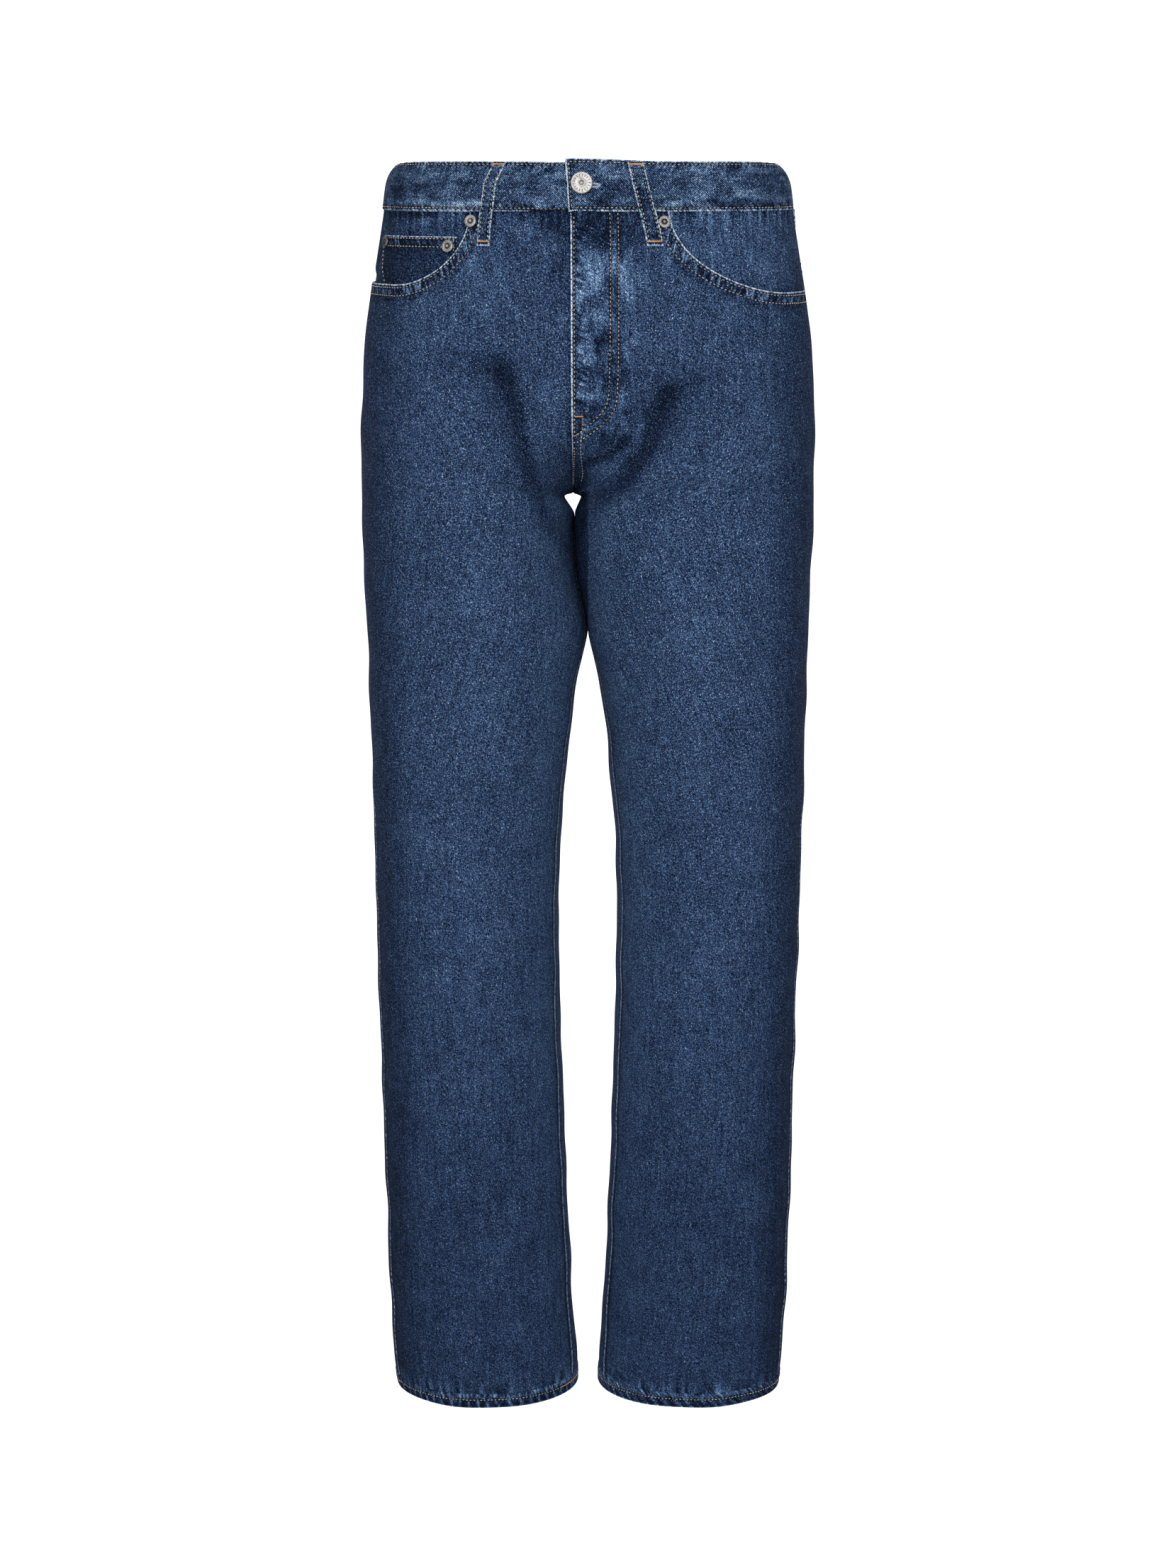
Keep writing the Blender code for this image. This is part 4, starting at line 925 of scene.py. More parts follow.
# %% How light the cloth is
# Cloth that faces outwards is darkened, painted shade, and cloth that faces inwards is lightened, painted
# light.
OUTER_SHADE = -0.21
INNER_SHADE = 0.10
SIDE_START = 0.45        # how far sideways the cloth faces before it counts as a side
FACING_GAIN = 1.4        # a mark keeps its strength until the cloth has turned well away
# A fold's crest and valley are made lighter and darker: painted light and shade, on top of the shading that
# the folds' shape gets.
FOLD_SHADE = 7.0         # how much a fold lightens its crest and darkens its valley
FOLD_DEEPEST, FOLD_HIGHEST = -0.010, 0.005


def faces(mark, laid):
    """1 where the cloth faces the side that a mark is on, and 0 where it has turned away."""
    return np.clip(mark.face * laid.normal[..., 1] * FACING_GAIN, 0.0, 1.0)


def faded_and_shaded(laid):
    """How much lighter or darker the cloth is at each point: fading by wear, and painted light and shade."""
    x, z = laid.point[..., 0], laid.point[..., 2]
    heights, amounts = zip(*FADE_BY_HEIGHT)
    light = np.interp(z, heights, amounts)
    for patch in PATCHES:
        away = ((x - patch.x) / patch.wide) ** 2 + ((z - patch.z) / patch.high) ** 2
        light = light + patch.amount * faces(patch, laid) * np.exp(-away)
    for crease in CREASES:
        strength = np.zeros_like(x)
        for (x0, z0, wide0), (x1, z1, wide1) in zip(crease.points[:-1], crease.points[1:]):
            away, near = away_from(x, z, x0, z0, x1, z1)
            strength = np.maximum(strength, np.exp(-((away / (wide0 + near * (wide1 - wide0))) ** 2)))
        light = light + crease.amount * faces(crease, laid) * strength
    # painted light on the folds' crests and painted shade in their valleys; painted shade on cloth that faces
    # outwards and painted light on cloth that faces inwards
    light = light + FOLD_SHADE * np.clip(laid.folds, FOLD_DEEPEST, FOLD_HIGHEST)
    sideways = laid.normal[..., 0] * np.sign(x)
    outward = smooth_step((sideways - SIDE_START) / (1 - SIDE_START))
    inward = smooth_step((-sideways - SIDE_START) / (1 - SIDE_START))
    return light + OUTER_SHADE * outward + INNER_SHADE * inward


# %% [markdown]
# ## A cut of cloth
# Each piece starts as a flat grid. Solidify gives it a second face, and then every point
# is moved to where the cut lies on the skin: the outer face right on it, the inner one a
# wall's thickness behind. A folded edge is rounded by letting the outer face sink over
# the last millimetre. The flat sizes are kept as the UV map, in metres, so that the weave
# follows the cut as it does on real cloth.

# %% A cut of cloth
FAR = 1.0                # a distance that is out of reach of any edge or stitch
CREASED = 48             # degrees at which an edge shows as an edge

# What a piece says of itself at each point: how far the nearest edge, double seam and
# single row are, how far along them it is, and how strong the wear and the weave are.
USUAL = {
    "edge": FAR, "pair": FAR, "row": FAR, "walk": 0.0,
    "gather": 0.0, "rub": 0.6, "rib": 0.13, "mottle": 0.16,
}


def bump_at(value, width):
    """1 at zero, falling away to both sides."""
    return np.exp(-((value / width) ** 2))


def rounded(distance_in, radius):
    """How far a rounded edge sinks at a distance in from the edge."""
    return radius - np.sqrt(np.maximum(radius**2 - np.clip(radius - distance_in, 0.0, radius) ** 2, 0.0))


def give(mesh, name, values):
    """Keeps a value for each point of a mesh, for its material to read."""
    layer = mesh.attributes.new(name, "FLOAT", "POINT")
    layer.data.foreach_set("value", np.ascontiguousarray(values, np.float32))


def cloth(name, columns, rows, place, wall=DENIM, join=False):
    """A flat cut of columns by rows, laid by place(share across, share down)."""
    bpy.ops.object.select_all(action="DESELECT")
    bpy.ops.mesh.primitive_grid_add(x_subdivisions=columns, y_subdivisions=rows, size=2)
    piece = bpy.context.object
    piece.name = piece.data.name = name
    layer = piece.modifiers.new("wall", "SOLIDIFY")
    layer.thickness, layer.offset, layer.use_even_offset = 1.0, -1.0, False
    bpy.ops.object.modifier_apply(modifier="wall")
    mesh = piece.data
    flat = np.empty(len(mesh.vertices) * 3)
    mesh.vertices.foreach_get("co", flat)
    flat = flat.reshape(-1, 3)
    column = np.rint((flat[:, 0] + 1) / 2 * columns).astype(int)
    line = np.rint((1 - flat[:, 1]) / 2 * rows).astype(int)
    inner = flat[:, 2] < -0.5

    cut = place(np.linspace(0, 1, columns + 1)[None, :], np.linspace(0, 1, rows + 1)[:, None])
    laid, size = cut["laid"], (rows + 1, columns + 1)
    outside = laid.point - laid.normal * np.broadcast_to(cut.get("sink", 0.0), size)[..., None]
    inside = laid.point - laid.normal * wall
    points = np.where(inner[:, None], inside[line, column], outside[line, column])
    mesh.vertices.foreach_set("co", points.ravel())

    for key, usual in USUAL.items():
        give(mesh, key, np.broadcast_to(cut.get(key, usual), size)[line, column])
    light = faded_and_shaded(laid) + cut.get("fade", 0.0)
    give(mesh, "fade", np.broadcast_to(light, size)[line, column])
    bite = np.interp(laid.point[..., 2], *zip(*BITE_BY_HEIGHT))
    give(mesh, "bite", np.broadcast_to(bite, size)[line, column])
    give(mesh, "inner", inner.astype(float))

    corners = np.empty(len(mesh.loops), int)
    mesh.loops.foreach_get("vertex_index", corners)
    u = np.broadcast_to(cut["u"], size)[line, column][corners]
    v = np.broadcast_to(cut["v"], size)[line, column][corners]
    mesh.uv_layers[0].name = "cloth"
    mesh.uv_layers["cloth"].data.foreach_set("uv", np.stack([u, v], -1).ravel())
    mesh.update()
    mesh.materials.append(DENIM_STUFF)

    face_outwards(merge=join)
    pick(piece)
    bpy.ops.object.shade_smooth_by_angle(angle=math.radians(CREASED))
    piece["flat"] = [float(np.ptp(u)), float(np.ptp(v)), float(flat_area(cut, size))]
    print(name, len(mesh.polygons), "faces,", [round(value, 3) for value in piece["flat"]])
    return piece


def flat_area(cut, size):
    """The area of the flat cut, from its own measurements."""
    u, v = np.broadcast_to(cut["u"], size), np.broadcast_to(cut["v"], size)
    across = np.stack([np.diff(u, axis=1)[:-1], np.diff(v, axis=1)[:-1]])
    down = np.stack([np.diff(u, axis=0)[:, :-1], np.diff(v, axis=0)[:, :-1]])
    return np.abs(across[0] * down[1] - across[1] * down[0]).sum()


def dress(piece, node):
    """Puts a piece in its CAD solid's place: hides the solid, drops the piece's flat sizes and hangs it under
    the root.
    """
    del piece["flat"]
    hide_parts(node)
    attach(piece, "root")


# %% [markdown]
# ## Lines on the cloth
# A row of stitches runs at a steady distance from an edge. A line is a list of points
# measured across and down the cloth. It can be stepped aside, and the shader and the
# stitches both use its distance.

# %% Lines on the cloth


def bunched(share, amount):
    """Crowds shares towards both ends."""
    return share - amount * np.sin(2 * math.pi * share) / (2 * math.pi)


def smooth_line(points, count=160):
    """A smooth line through a few points, with count points an even distance apart."""
    points = np.array(points, float)
    steps = run_of(np.hypot(*np.diff(points, axis=0).T))
    wanted = np.linspace(0, steps[-1], count)
    padded = np.vstack([2 * points[0] - points[1], points, 2 * points[-1] - points[-2]])
    i = np.clip(np.searchsorted(steps, wanted, side="right") - 1, 0, len(points) - 2)
    t = ((wanted - steps[i]) / (steps[i + 1] - steps[i]))[:, None]
    a, b, c, d = padded[i], padded[i + 1], padded[i + 2], padded[i + 3]
    return 0.5 * (2 * b + (c - a) * t + (2 * a - 5 * b + 4 * c - d) * t**2 + (3 * b - a - 3 * c + d) * t**3)


def aside(line, step):
    """The line moved sideways, to its right as one walks along it."""
    along = np.gradient(line, axis=0)
    along = along / np.maximum(np.hypot(*along.T)[:, None], TINY)
    return line + step * np.stack([along[:, 1], -along[:, 0]], -1)


def from_line(line, across, height, reach=0.06):
    """The distance from a line, positive to its right as one walks along it."""
    across, height = np.broadcast_arrays(across, height)
    result = np.full(across.shape, FAR)
    low, high = line.min(0) - reach, line.max(0) + reach
    close = (across > low[0]) & (across < high[0]) & (height > low[1]) & (height < high[1])
    spots = np.stack([across[close], height[close]], -1)
    best = np.full(len(spots), FAR)
    for start, end in zip(line[:-1], line[1:]):
        run = end - start
        share = np.clip((spots - start) @ run / max(run @ run, 1e-15), 0.0, 1.0)
        off = spots - start - share[:, None] * run
        far = np.hypot(off[:, 0], off[:, 1])
        turn = np.where(off[:, 0] * run[1] - off[:, 1] * run[0] >= 0, 1.0, -1.0)
        best = np.where(far < np.abs(best), far * turn, best)
    result[close] = best
    return result


def nearer(first, second):
    """Whichever of two distances is the smaller one, with its sign."""
    return np.where(np.abs(first) < np.abs(second), first, second)


def uneven(along, pitch, drift, slow):
    """A wave along a seam whose crests come at uneven distances."""
    return np.sin(along / pitch + drift * np.sin(along / slow))


# %% [markdown]
# ## Front panels
# A front panel runs from the waist seam to the hem. Its top outer corner is scooped away
# for the pocket, so its rows bend down to follow the scoop and level out below. The
# wearer's left front lies over the right one at the fly, which is where the long white
# rubbed edge comes from.

# %% Sizes of the front
Mouth = namedtuple("Mouth", "start reach drop")
MOUTHS = {1: Mouth(0.365, 0.786, 0.0634), -1: Mouth(0.365, 0.653, 0.0572)}
LEG_CROWDING = 1.15      # the columns of points crowd towards the inner side of the leg
PANEL_RELAX_Z = -0.170   # the rows of points are level from here down
PANEL_TOP_Z = -0.040
PANEL_TOP_WIDTH = 0.21
LEG_END_Z = HEM_Z + HEM_HEIGHT + GAP
FLY_EDGE_RISE = 0.0017
FLY_EDGE_START = 0.006
FLY_EDGE_WIDTH = 0.034
FLY_ROW = 0.0026         # the fly edge's own row of stitches
MOUTH_GAP = 0.0006
MOUTH_ROW = 0.0028       # a mouth's first row, in from its edge
EDGE_ROW = 0.0020        # any other double seam's first row, in from its edge
OUTSEAM_SHOWS_Z = -0.36  # the side seam lies towards the front from here down


def stepped(top, *runs):
    """Heights from the top down: each run is (lowest height, how many steps)."""
    heights = [top]
    for lowest, count in runs:
        heights += list(np.linspace(heights[-1], lowest, count + 1)[1:])
    return np.array(heights)


FRONT_HEIGHTS = stepped(
    PANEL_TOP_Z, (-0.0412, 3), (-0.0440, 3), (-0.170, 44), (CROTCH_Z + 0.0001, 28), (-0.2590, 3),
    (-0.272, 6), (-0.400, 42), (-0.640, 66), (-0.985, 86), (LEG_END_Z, 6),
)
BACK_HEIGHTS = stepped(
    PANEL_TOP_Z, (-0.0412, 2), (-0.170, 28), (CROTCH_Z + 0.0001, 18), (-0.2590, 3),
    (-0.272, 4), (-0.400, 30), (-0.700, 64), (-0.985, 52), (LEG_END_Z, 4),
)


def mouth_drop(side, share):
    """How far below the waist seam a panel's top edge lies, at a share across the panel."""
    mouth = MOUTHS[side]
    left = np.clip((mouth.reach - share) / (mouth.reach - mouth.start), 0.0, 1.0)
    drop = mouth.drop * np.sqrt(1 - left**2)
    return drop + (TUCK + MOUTH_GAP) * smooth_step(drop / (4 * TUCK))


def drawn(z):
    """How much of the way a height is from where the rows are level to the top edge."""
    return np.clip((z - PANEL_RELAX_Z) / (PANEL_TOP_Z - PANEL_RELAX_Z), 0.0, 1.0)


def meet_top(z, top):
    """Draws the upper rows up or down to meet the top edge."""
    return np.where(z > PANEL_RELAX_Z, PANEL_RELAX_Z + drawn(z) * (top - PANEL_RELAX_Z), z + 0 * top)


def along_top(side, across):
    """Shares across the panel that are evenly spaced along its scooped top edge."""
    steep = MOUTHS[side].start + np.linspace(0, 0.06, 400) ** 2
    shares = np.unique(np.concatenate([np.linspace(0, 1, 600), steep]))
    run = run_of(np.hypot(np.diff(shares) * PANEL_TOP_WIDTH, np.diff(mouth_drop(side, shares))))
    return np.interp(across * run[-1], run, shares)


def fly_rise(side, across, z):
    """The wearer's left front lies over the right one, so its edge stands proud."""
    if side < 0:
        return 0.0 * across
    length = smooth_step((z - CROTCH_Z - 0.004) / 0.03)
    gathers = 0.00045 * uneven(z, 0.0029, 2.2, 0.023) * bump_at(across - FLY_EDGE_START, 0.007)
    return length * (FLY_EDGE_RISE * (1 - smooth_step((across - FLY_EDGE_START) / FLY_EDGE_WIDTH)) + gathers)


print("a front has", len(FRONT_HEIGHTS), "rows of points and a back", len(BACK_HEIGHTS))

# %% The fly's rows of stitches
J_OUTER = smooth_line([
    (0.0357, -0.0385), (0.0362, -0.067), (0.0362, -0.120), (0.0360, -0.1564),
    (0.0357, -0.1748), (0.0341, -0.1885), (0.0306, -0.1953), (0.0229, -0.2040),
    (0.0134, -0.2105), (0.0060, -0.2140), (0.0008, -0.2147),
])
J_INNER = smooth_line([
    (0.0297, -0.0385), (0.0302, -0.067), (0.0300, -0.120), (0.0297, -0.1564),
    (0.0293, -0.1748), (0.0281, -0.1850), (0.0245, -0.1925), (0.0166, -0.2005),
    (0.0103, -0.2055), (0.0039, -0.2090), (0.0008, -0.2095),
])
J_MIDDLE = (J_OUTER + aside(J_OUTER, ROW_APART)) / 2
print("the fly is sewn down to", round(float(J_OUTER[-1, 1]), 4))

# %% Front panels
mouth_lines = {}


def front_place(side):
    def place(across, down):
        crowded = across - 0.055 * np.sin(2 * math.pi * np.clip(across, 0, 0.5)) / math.pi
        upper = along_top(side, across)
        heights = FRONT_HEIGHTS[np.rint(down * (len(FRONT_HEIGHTS) - 1)).astype(int)]
        z = meet_top(heights, seam_over(side, upper, PANEL_TOP_Z) + TUCK - mouth_drop(side, upper))
        lower = crowded**LEG_CROWDING
        share = lower + drawn(heights) * (upper - lower)
        angle, along = on_panel(side, share, z)
        rise = fly_rise(side, along, z)

        in_mouth = upper[0] >= MOUTHS[side].start
        mouth = np.stack([along[0], z[0]], -1)[in_mouth]
        mouth_lines[side] = mouth
        from_mouth = np.abs(from_line(mouth, along, z))
        from_top = np.minimum(z[:1] - z, from_mouth)
        pair = from_mouth - MOUTH_ROW - ROW_APART / 2
        torso = z > CROTCH_Z
        fly = np.where(torso, along, FAR)
        inseam = np.where(torso, FAR, along)
        begins = 0.006 * (1 - smooth_step((OUTSEAM_SHOWS_Z - z) / 0.08))
        outseam = np.where(z < OUTSEAM_SHOWS_Z, along[:, -1:] - along + begins, FAR)
        seam = np.minimum(inseam, outseam)

        at_hem = np.exp(-(z - LEG_END_Z) / 0.007)
        top_run = run_of(np.hypot(np.diff(along[0]), np.diff(z[0])))
        walk = np.where(from_top < 0.03, top_run, np.where(at_hem > 0.2, side * along * 0.6, z))
        gather = 1.05 * bump_at(pair, 0.0044) + 0.50 * np.exp(-from_top / 0.010)
        gather = gather + 0.8 * np.exp(-outseam / 0.005) + 0.25 * np.exp(-inseam / 0.004) + 0.9 * at_hem
        # the first term is a painted shadow just below the mouth's second row of stitches
        fade = -0.13 * bump_at(pair - ROW_APART / 2 - 0.003, 0.0022) - 0.08 * bump_at(pair, 0.0026)
        fade = fade + 0.06 * at_hem
        # painted shadow under the waistband
        fade = fade - 0.24 * np.exp(-(z[:1] - z - TUCK) / 0.0035) * (upper < MOUTHS[side].start)
        fade = fade - 0.16 * bump_at(seam - 0.0055, 0.0016)
        sink, row, mottle = rounded(from_mouth, 0.0006), FAR, 0.16
        edge = np.minimum(from_mouth, 0.5 * seam)
        rub = np.where(from_mouth < seam, 0.9, 0.60)
        if side > 0:
            stitched = -from_line(J_MIDDLE, along, z)
            pair = nearer(pair, stitched)
            rub = np.where(fly < edge, 1.15, rub)
            edge = np.minimum(edge, fly)
            row = fly - FLY_ROW
            sink = np.maximum(sink, rounded(fly, 0.0007))
            on_fly = smooth_step((z + 0.225) / 0.03)
            walk = np.where((along < 0.045) & (z < -0.047), z, walk)
            puckered = 0.85 * bump_at(along - 0.0070, 0.0065) + 0.2 * bump_at(stitched, 0.0050)
            gather = gather + on_fly * puckered
            cloudy = 0.6 * bump_at(along - 0.016, 0.018) + 0.6 * bump_at(along - 0.036, 0.012)
            mottle = mottle + on_fly * cloudy
            fade = fade - 0.10 * bump_at(along - 0.0040, 0.0013) * on_fly
        else:
            # painted shadow beside the fly, under the proud edge of the left front
            fade = fade - 0.22 * np.exp(-fly / 0.0030)
            mottle = mottle + 0.10 * bump_at(fly, 0.03)
        return {
            "laid": lay(side, angle, z, 0.0, rise), "sink": sink,
            "edge": edge, "pair": pair, "row": row, "walk": walk,
            "gather": gather, "rub": rub, "mottle": mottle, "fade": fade,
            "u": side * along, "v": z,
        }

    return place


for side, hand in SIDES:
    front = cloth(f"front_panel_{hand}", 104, len(FRONT_HEIGHTS) - 1, front_place(side))
    dress(front, f"front_{hand}")

# %% [markdown]
# ## Back panels and yokes
# The back is cut like the front but fuller over the seat, and a shaped strip, the yoke,
# joins it to the waistband. The yoke is deepest at the middle, which gives the garment
# its hollow at the back of the waist.

# %% Back panels and yokes
BACK_TOP_Z = -0.03


def yoke_drop(share):
    """How far below the waist seam the yoke ends, at a share across the back."""
    return YOKE_CENTRE_DROP + (YOKE_SIDE_DROP - YOKE_CENTRE_DROP) * share


def back_place(side):
    def place(across, down):
        heights = BACK_HEIGHTS[np.rint(down * (len(BACK_HEIGHTS) - 1)).astype(int)]
        z = meet_top(heights, seam_over(side, across, BACK_TOP_Z, back=True) - yoke_drop(across) - GAP)
        lower = across**LEG_CROWDING
        share = lower + drawn(heights) * (across - lower)
        angle, along = on_panel(side, share, z, back=True)
        from_top = z[0][None, :] - z
        torso = z > CROTCH_Z
        middle = np.where(torso, along, FAR)
        pair = nearer(from_top - EDGE_ROW - ROW_APART / 2, middle - EDGE_ROW - ROW_APART / 2)
        outseam = np.where(z < OUTSEAM_SHOWS_Z, along[:, -1:] - along, FAR)
        seam = np.minimum(np.where(torso, FAR, along), outseam)
        return {
            "laid": lay(side, angle, z), "pair": pair, "edge": np.minimum(from_top, middle) + 0.0004,
            "walk": np.where(from_top < middle, along, z),
            "gather": bump_at(pair, 0.005) + 0.4 * np.exp(-seam / 0.006), "rub": 0.8,
            "fade": -0.12 * np.exp(-seam / 0.0018), "u": -side * along, "v": z,
        }

    return place


def yoke_place(side):
    def place(across, down):
        top = seam_over(side, across, BACK_TOP_Z, back=True) + TUCK
        z = top - down * (yoke_drop(across) + TUCK)
        angle, along = on_panel(side, across, z, back=True)
        return {"laid": lay(side, angle, z), "row": 0 * z + along - 0.003, "u": -side * along, "v": z}

    return place


for side, hand in SIDES:
    back = cloth(f"back_panel_{hand}", 76, len(BACK_HEIGHTS) - 1, back_place(side))
    dress(back, f"back_{hand}")
for side, hand in SIDES:
    yoke = cloth(f"yoke_panel_{hand}", 70, 18, yoke_place(side))
    dress(yoke, f"yoke_{hand}")

# %% [markdown]
# ## Hems
# The hem is turned up twice and sewn down, so it is three layers thick, a little proud
# of the leg, and it ropes: the stitching drags the fold along on a slant, and the ridges
# wear light.

# %% Hems
HEM_PROUD = 0.0006
HEM_ROW = 0.0074         # the row of stitches, above the lower edge
ROPE_PITCH = 0.0082
ROPE_SLANT = 0.6
ROPE_HEIGHT = 0.00030


def hem_place(side):
    def place(round_it, down):
        angle = 2 * math.pi * round_it - math.pi
        up = HEM_HEIGHT * (1 - bunched(down, 0.75))
        z = HEM_Z + up + 0 * angle
        angle = angle + 0 * z
        x, y = oval(angle, z)
        along = np.concatenate([np.zeros_like(x[:, :1]), np.cumsum(np.hypot(np.diff(x), np.diff(y)), -1)], -1)
        run = side * along
        turns = 2 * math.pi * (run + ROPE_SLANT * up) / ROPE_PITCH
        ropes = np.sin(turns + 1.6 * np.sin(run / 0.021) + 0.9 * np.sin(run / 0.0083))
        calm = smooth_step(np.minimum(along, along[:, -1:] - along) / 0.01) * np.sin(np.pi * up / HEM_HEIGHT)
        sink = rounded(up, 0.0010) + rounded(HEM_HEIGHT - up, 0.0005)
        folded = smooth_step((HEM_ROW - up) / 0.0012)
        fade = folded * (1.15 * np.clip(ropes - 0.45, 0.0, 1.0) - 0.21) + 0.14 - 0.10 * folded
        fade = fade - 0.16 * bump_at(up - HEM_ROW, 0.0008)
        return {
            "laid": lay(side, angle, z, HEM_PROUD + ROPE_HEIGHT * ropes * calm), "sink": sink, "edge": up,
            "row": up - HEM_ROW, "walk": run, "gather": 1.1 - 0.7 * folded, "rub": 0.35, "fade": fade,
            "u": run, "v": z,
        }

    return place


for side, hand in SIDES:
    hem = cloth(f"hem_band_{hand}", 260, 12, hem_place(side), HEM_WALL, join=True)
    dress(hem, f"hem_{hand}")

# %% [markdown]
# ## Waistband
# The waistband is one long straight strip, folded double, that goes once round and laps
# over itself at the front. It stands just proud of the panels and is sewn along both its
# edges. Its lower edge and its ends rub light.

# %% Waistband
BAND_PROUD = 0.0006
OVERLAP_TOP = -0.0043
OVERLAP_FOOT = -0.0015
OVERLAP_RISE = 0.0020
OVERLAP_LIFT = 0.0012
OVERLAP_START, OVERLAP_EASE = 0.004, 0.075
UNDERLAP = 0.036
UNDERLAP_SINK = 0.0022
UNDERLAP_START, UNDERLAP_EASE = 0.045, 0.036
BAND_ROW = 0.0026
PUCKER = 0.00022


def band_spot(arc, up):
    """The side, angle, height and lift of a point of the waistband."""
    side, angle = round_waist(arc)
    over = 1 - smooth_step((arc - OVERLAP_START) / OVERLAP_EASE)
    under = smooth_step((arc - WAIST_ROUND + UNDERLAP_START) / UNDERLAP_EASE)
    lift = BAND_PROUD + OVERLAP_LIFT * over - UNDERLAP_SINK * under
    z = seam_height(angle) + up + OVERLAP_RISE * over * up / BAND_HEIGHT
    return side, angle, z, lift


def overlap_end(up):
    """Where the lapped end lies, which is cut at a slight slant."""
    return OVERLAP_FOOT + (OVERLAP_TOP - OVERLAP_FOOT) * up / BAND_HEIGHT


def band_place(across, down):
    up = BAND_HEIGHT * (1 - bunched(down, 0.80))
    first = overlap_end(up)
    arc = first + across * (WAIST_ROUND + UNDERLAP - first)
    side, angle, z, lift = band_spot(arc, up)
    from_end = arc - first
    long_edges = np.minimum(up, BAND_HEIGHT - up)
    edges = np.minimum(long_edges, from_end)
    pucker = PUCKER * uneven(arc, 0.0018, 2.0, 0.021) * bump_at(edges, 0.005)
    sink = rounded(edges, 0.0011)
    rows = nearer(up - BAND_ROW, BAND_HEIGHT - up - BAND_ROW)
    near_end = np.exp(-np.clip(arc, 0.0, FAR) / 0.03)
    rub = np.where(up < BAND_HEIGHT / 2, 0.6 + 0.5 * near_end, 0.4)
    rub = np.where(from_end <= long_edges, 1.1, rub)
    fade = 0.01 - 0.09 * bump_at(from_end - 0.0036, 0.0016) - 0.07 * bump_at(up - 0.0045, 0.0015)
    return {
        "laid": lay(side, angle, z, lift + pucker), "sink": sink, "edge": edges, "row": rows,
        "walk": arc + 0 * up, "gather": 0.85 * bump_at(edges, 0.0062) + 0.12, "rub": rub, "rib": 0.70,
        "mottle": 0.78, "fade": fade, "u": -up + 0 * arc, "v": arc + 0 * up,
    }


waistband = cloth("waistband_strip", 420, 18, band_place, BAND_WALL)
dress(waistband, "waistband")

# %% [markdown]
# ## Pockets
# Behind each scooped mouth lies the pocket's facing, and on the wearer's right a small
# pocket is sewn to it. The two back pockets are flat patches with a pointed foot.

# %% Pocket facings and the small pocket
FACING_START = 0.28
FACING_BELOW = 0.022
FACING_EASE = 0.014
FACING_LIGHT = {1: 0.055, -1: -0.03}
COIN_IN, COIN_OUT = 0.0975, 0.1865
COIN_TOP, COIN_FOOT = 0.0195, 0.072
COIN_TAPER = 0.004
COIN_SIDE_ROW = 0.0025
COIN_END_SHARE = 0.81
COIN_LEVEL_Z = -0.055
UNDER = DENIM + 0.0010   # one layer of cloth, with some air
LAYER_GAP = 0.0002
MOUTH_SIDE = 0.25        # metres for a share of one, beside the mouth's inner end


def behind_mouth(side, share, drop):
    """1 behind the front panel and 0 well inside the pocket's opening."""
    clear = np.minimum(mouth_drop(side, share) - drop, (share - MOUTHS[side].start) * MOUTH_SIDE)
    return 1 - smooth_step(clear / FACING_EASE)


def facing_lift(side, share, drop):
    """How far the cloth behind a pocket's opening lies below the skin."""
    behind = behind_mouth(side, share, drop)
    layers = behind
    if side < 0:
        beyond_coin = smooth_step((share - COIN_END_SHARE) / 0.06)
        layers = 1 + behind - 0.8 * beyond_coin * (1 - behind)
    return -UNDER * layers - LAYER_GAP


def facing_place(side):
    def place(across, down):
        share = FACING_START + (1 - FACING_START) * across
        reach = mouth_drop(side, np.maximum(share, MOUTHS[side].start + 0.02)) + FACING_BELOW
        drop = down * (reach + TUCK) - TUCK
        z = seam_over(side, share, PANEL_TOP_Z) - drop
        angle, along = on_panel(side, share, z)
        clear = np.clip(mouth_drop(side, share) - drop, 0.0, FAR)
        # painted shadow under the mouth's edge and under the waistband
        fade = FACING_LIGHT[side] - 0.16 * np.exp(-clear / 0.0030) - 0.10 * np.exp(-drop / 0.0030)
        lift = facing_lift(side, share, drop) * smooth_step((drop + 0.0022) / 0.0040)
        return {
            "laid": lay(side, angle, z, lift), "fade": fade, "walk": along,
            "gather": 0.8 * np.exp(-drop / 0.009), "mottle": 0.30, "u": side * along, "v": z,
        }

    return place


def coin_spot(across, down):
    """The angle, height and lift of a point of the small pocket, and its place on the cloth."""
    drop = COIN_TOP + (COIN_FOOT - COIN_TOP) * down
    taper = COIN_TAPER * down
    along = COIN_IN + taper + (COIN_OUT - COIN_IN - 2 * taper) * across
    level = on_face(along, np.full_like(along, COIN_LEVEL_Z))
    z = seam_height(level) - drop
    angle = on_face(along, z)
    start, _, width = panel_width(-1, z)
    share = spread(start, angle, np.ones_like(z), z)[1] / width
    return angle, z, facing_lift(-1, share, drop) + UNDER + LAYER_GAP, along, drop


def coin_place(across, down):
    down = bunched(down, 0.6)
    angle, z, lift, along, drop = coin_spot(across, down)
    from_top = drop - COIN_TOP
    wide = COIN_OUT - COIN_IN - 2 * COIN_TAPER * down
    sides = np.minimum(across, 1 - across) * wide
    return {
        "laid": lay(-1.0, angle, z, lift), "sink": rounded(np.minimum(from_top, sides), 0.0006),
        "edge": np.minimum(from_top, sides + 0.0012), "pair": from_top - EDGE_ROW - ROW_APART / 2,
        "row": sides - COIN_SIDE_ROW, "walk": along,
        "gather": 1.1 * bump_at(from_top - 0.0052, 0.0048), "rub": 0.9,
        # the second term is a painted shadow just below the second row of stitches
        "fade": -0.20 - 0.08 * bump_at(from_top - 0.0115, 0.002), "u": -along, "v": z,
    }


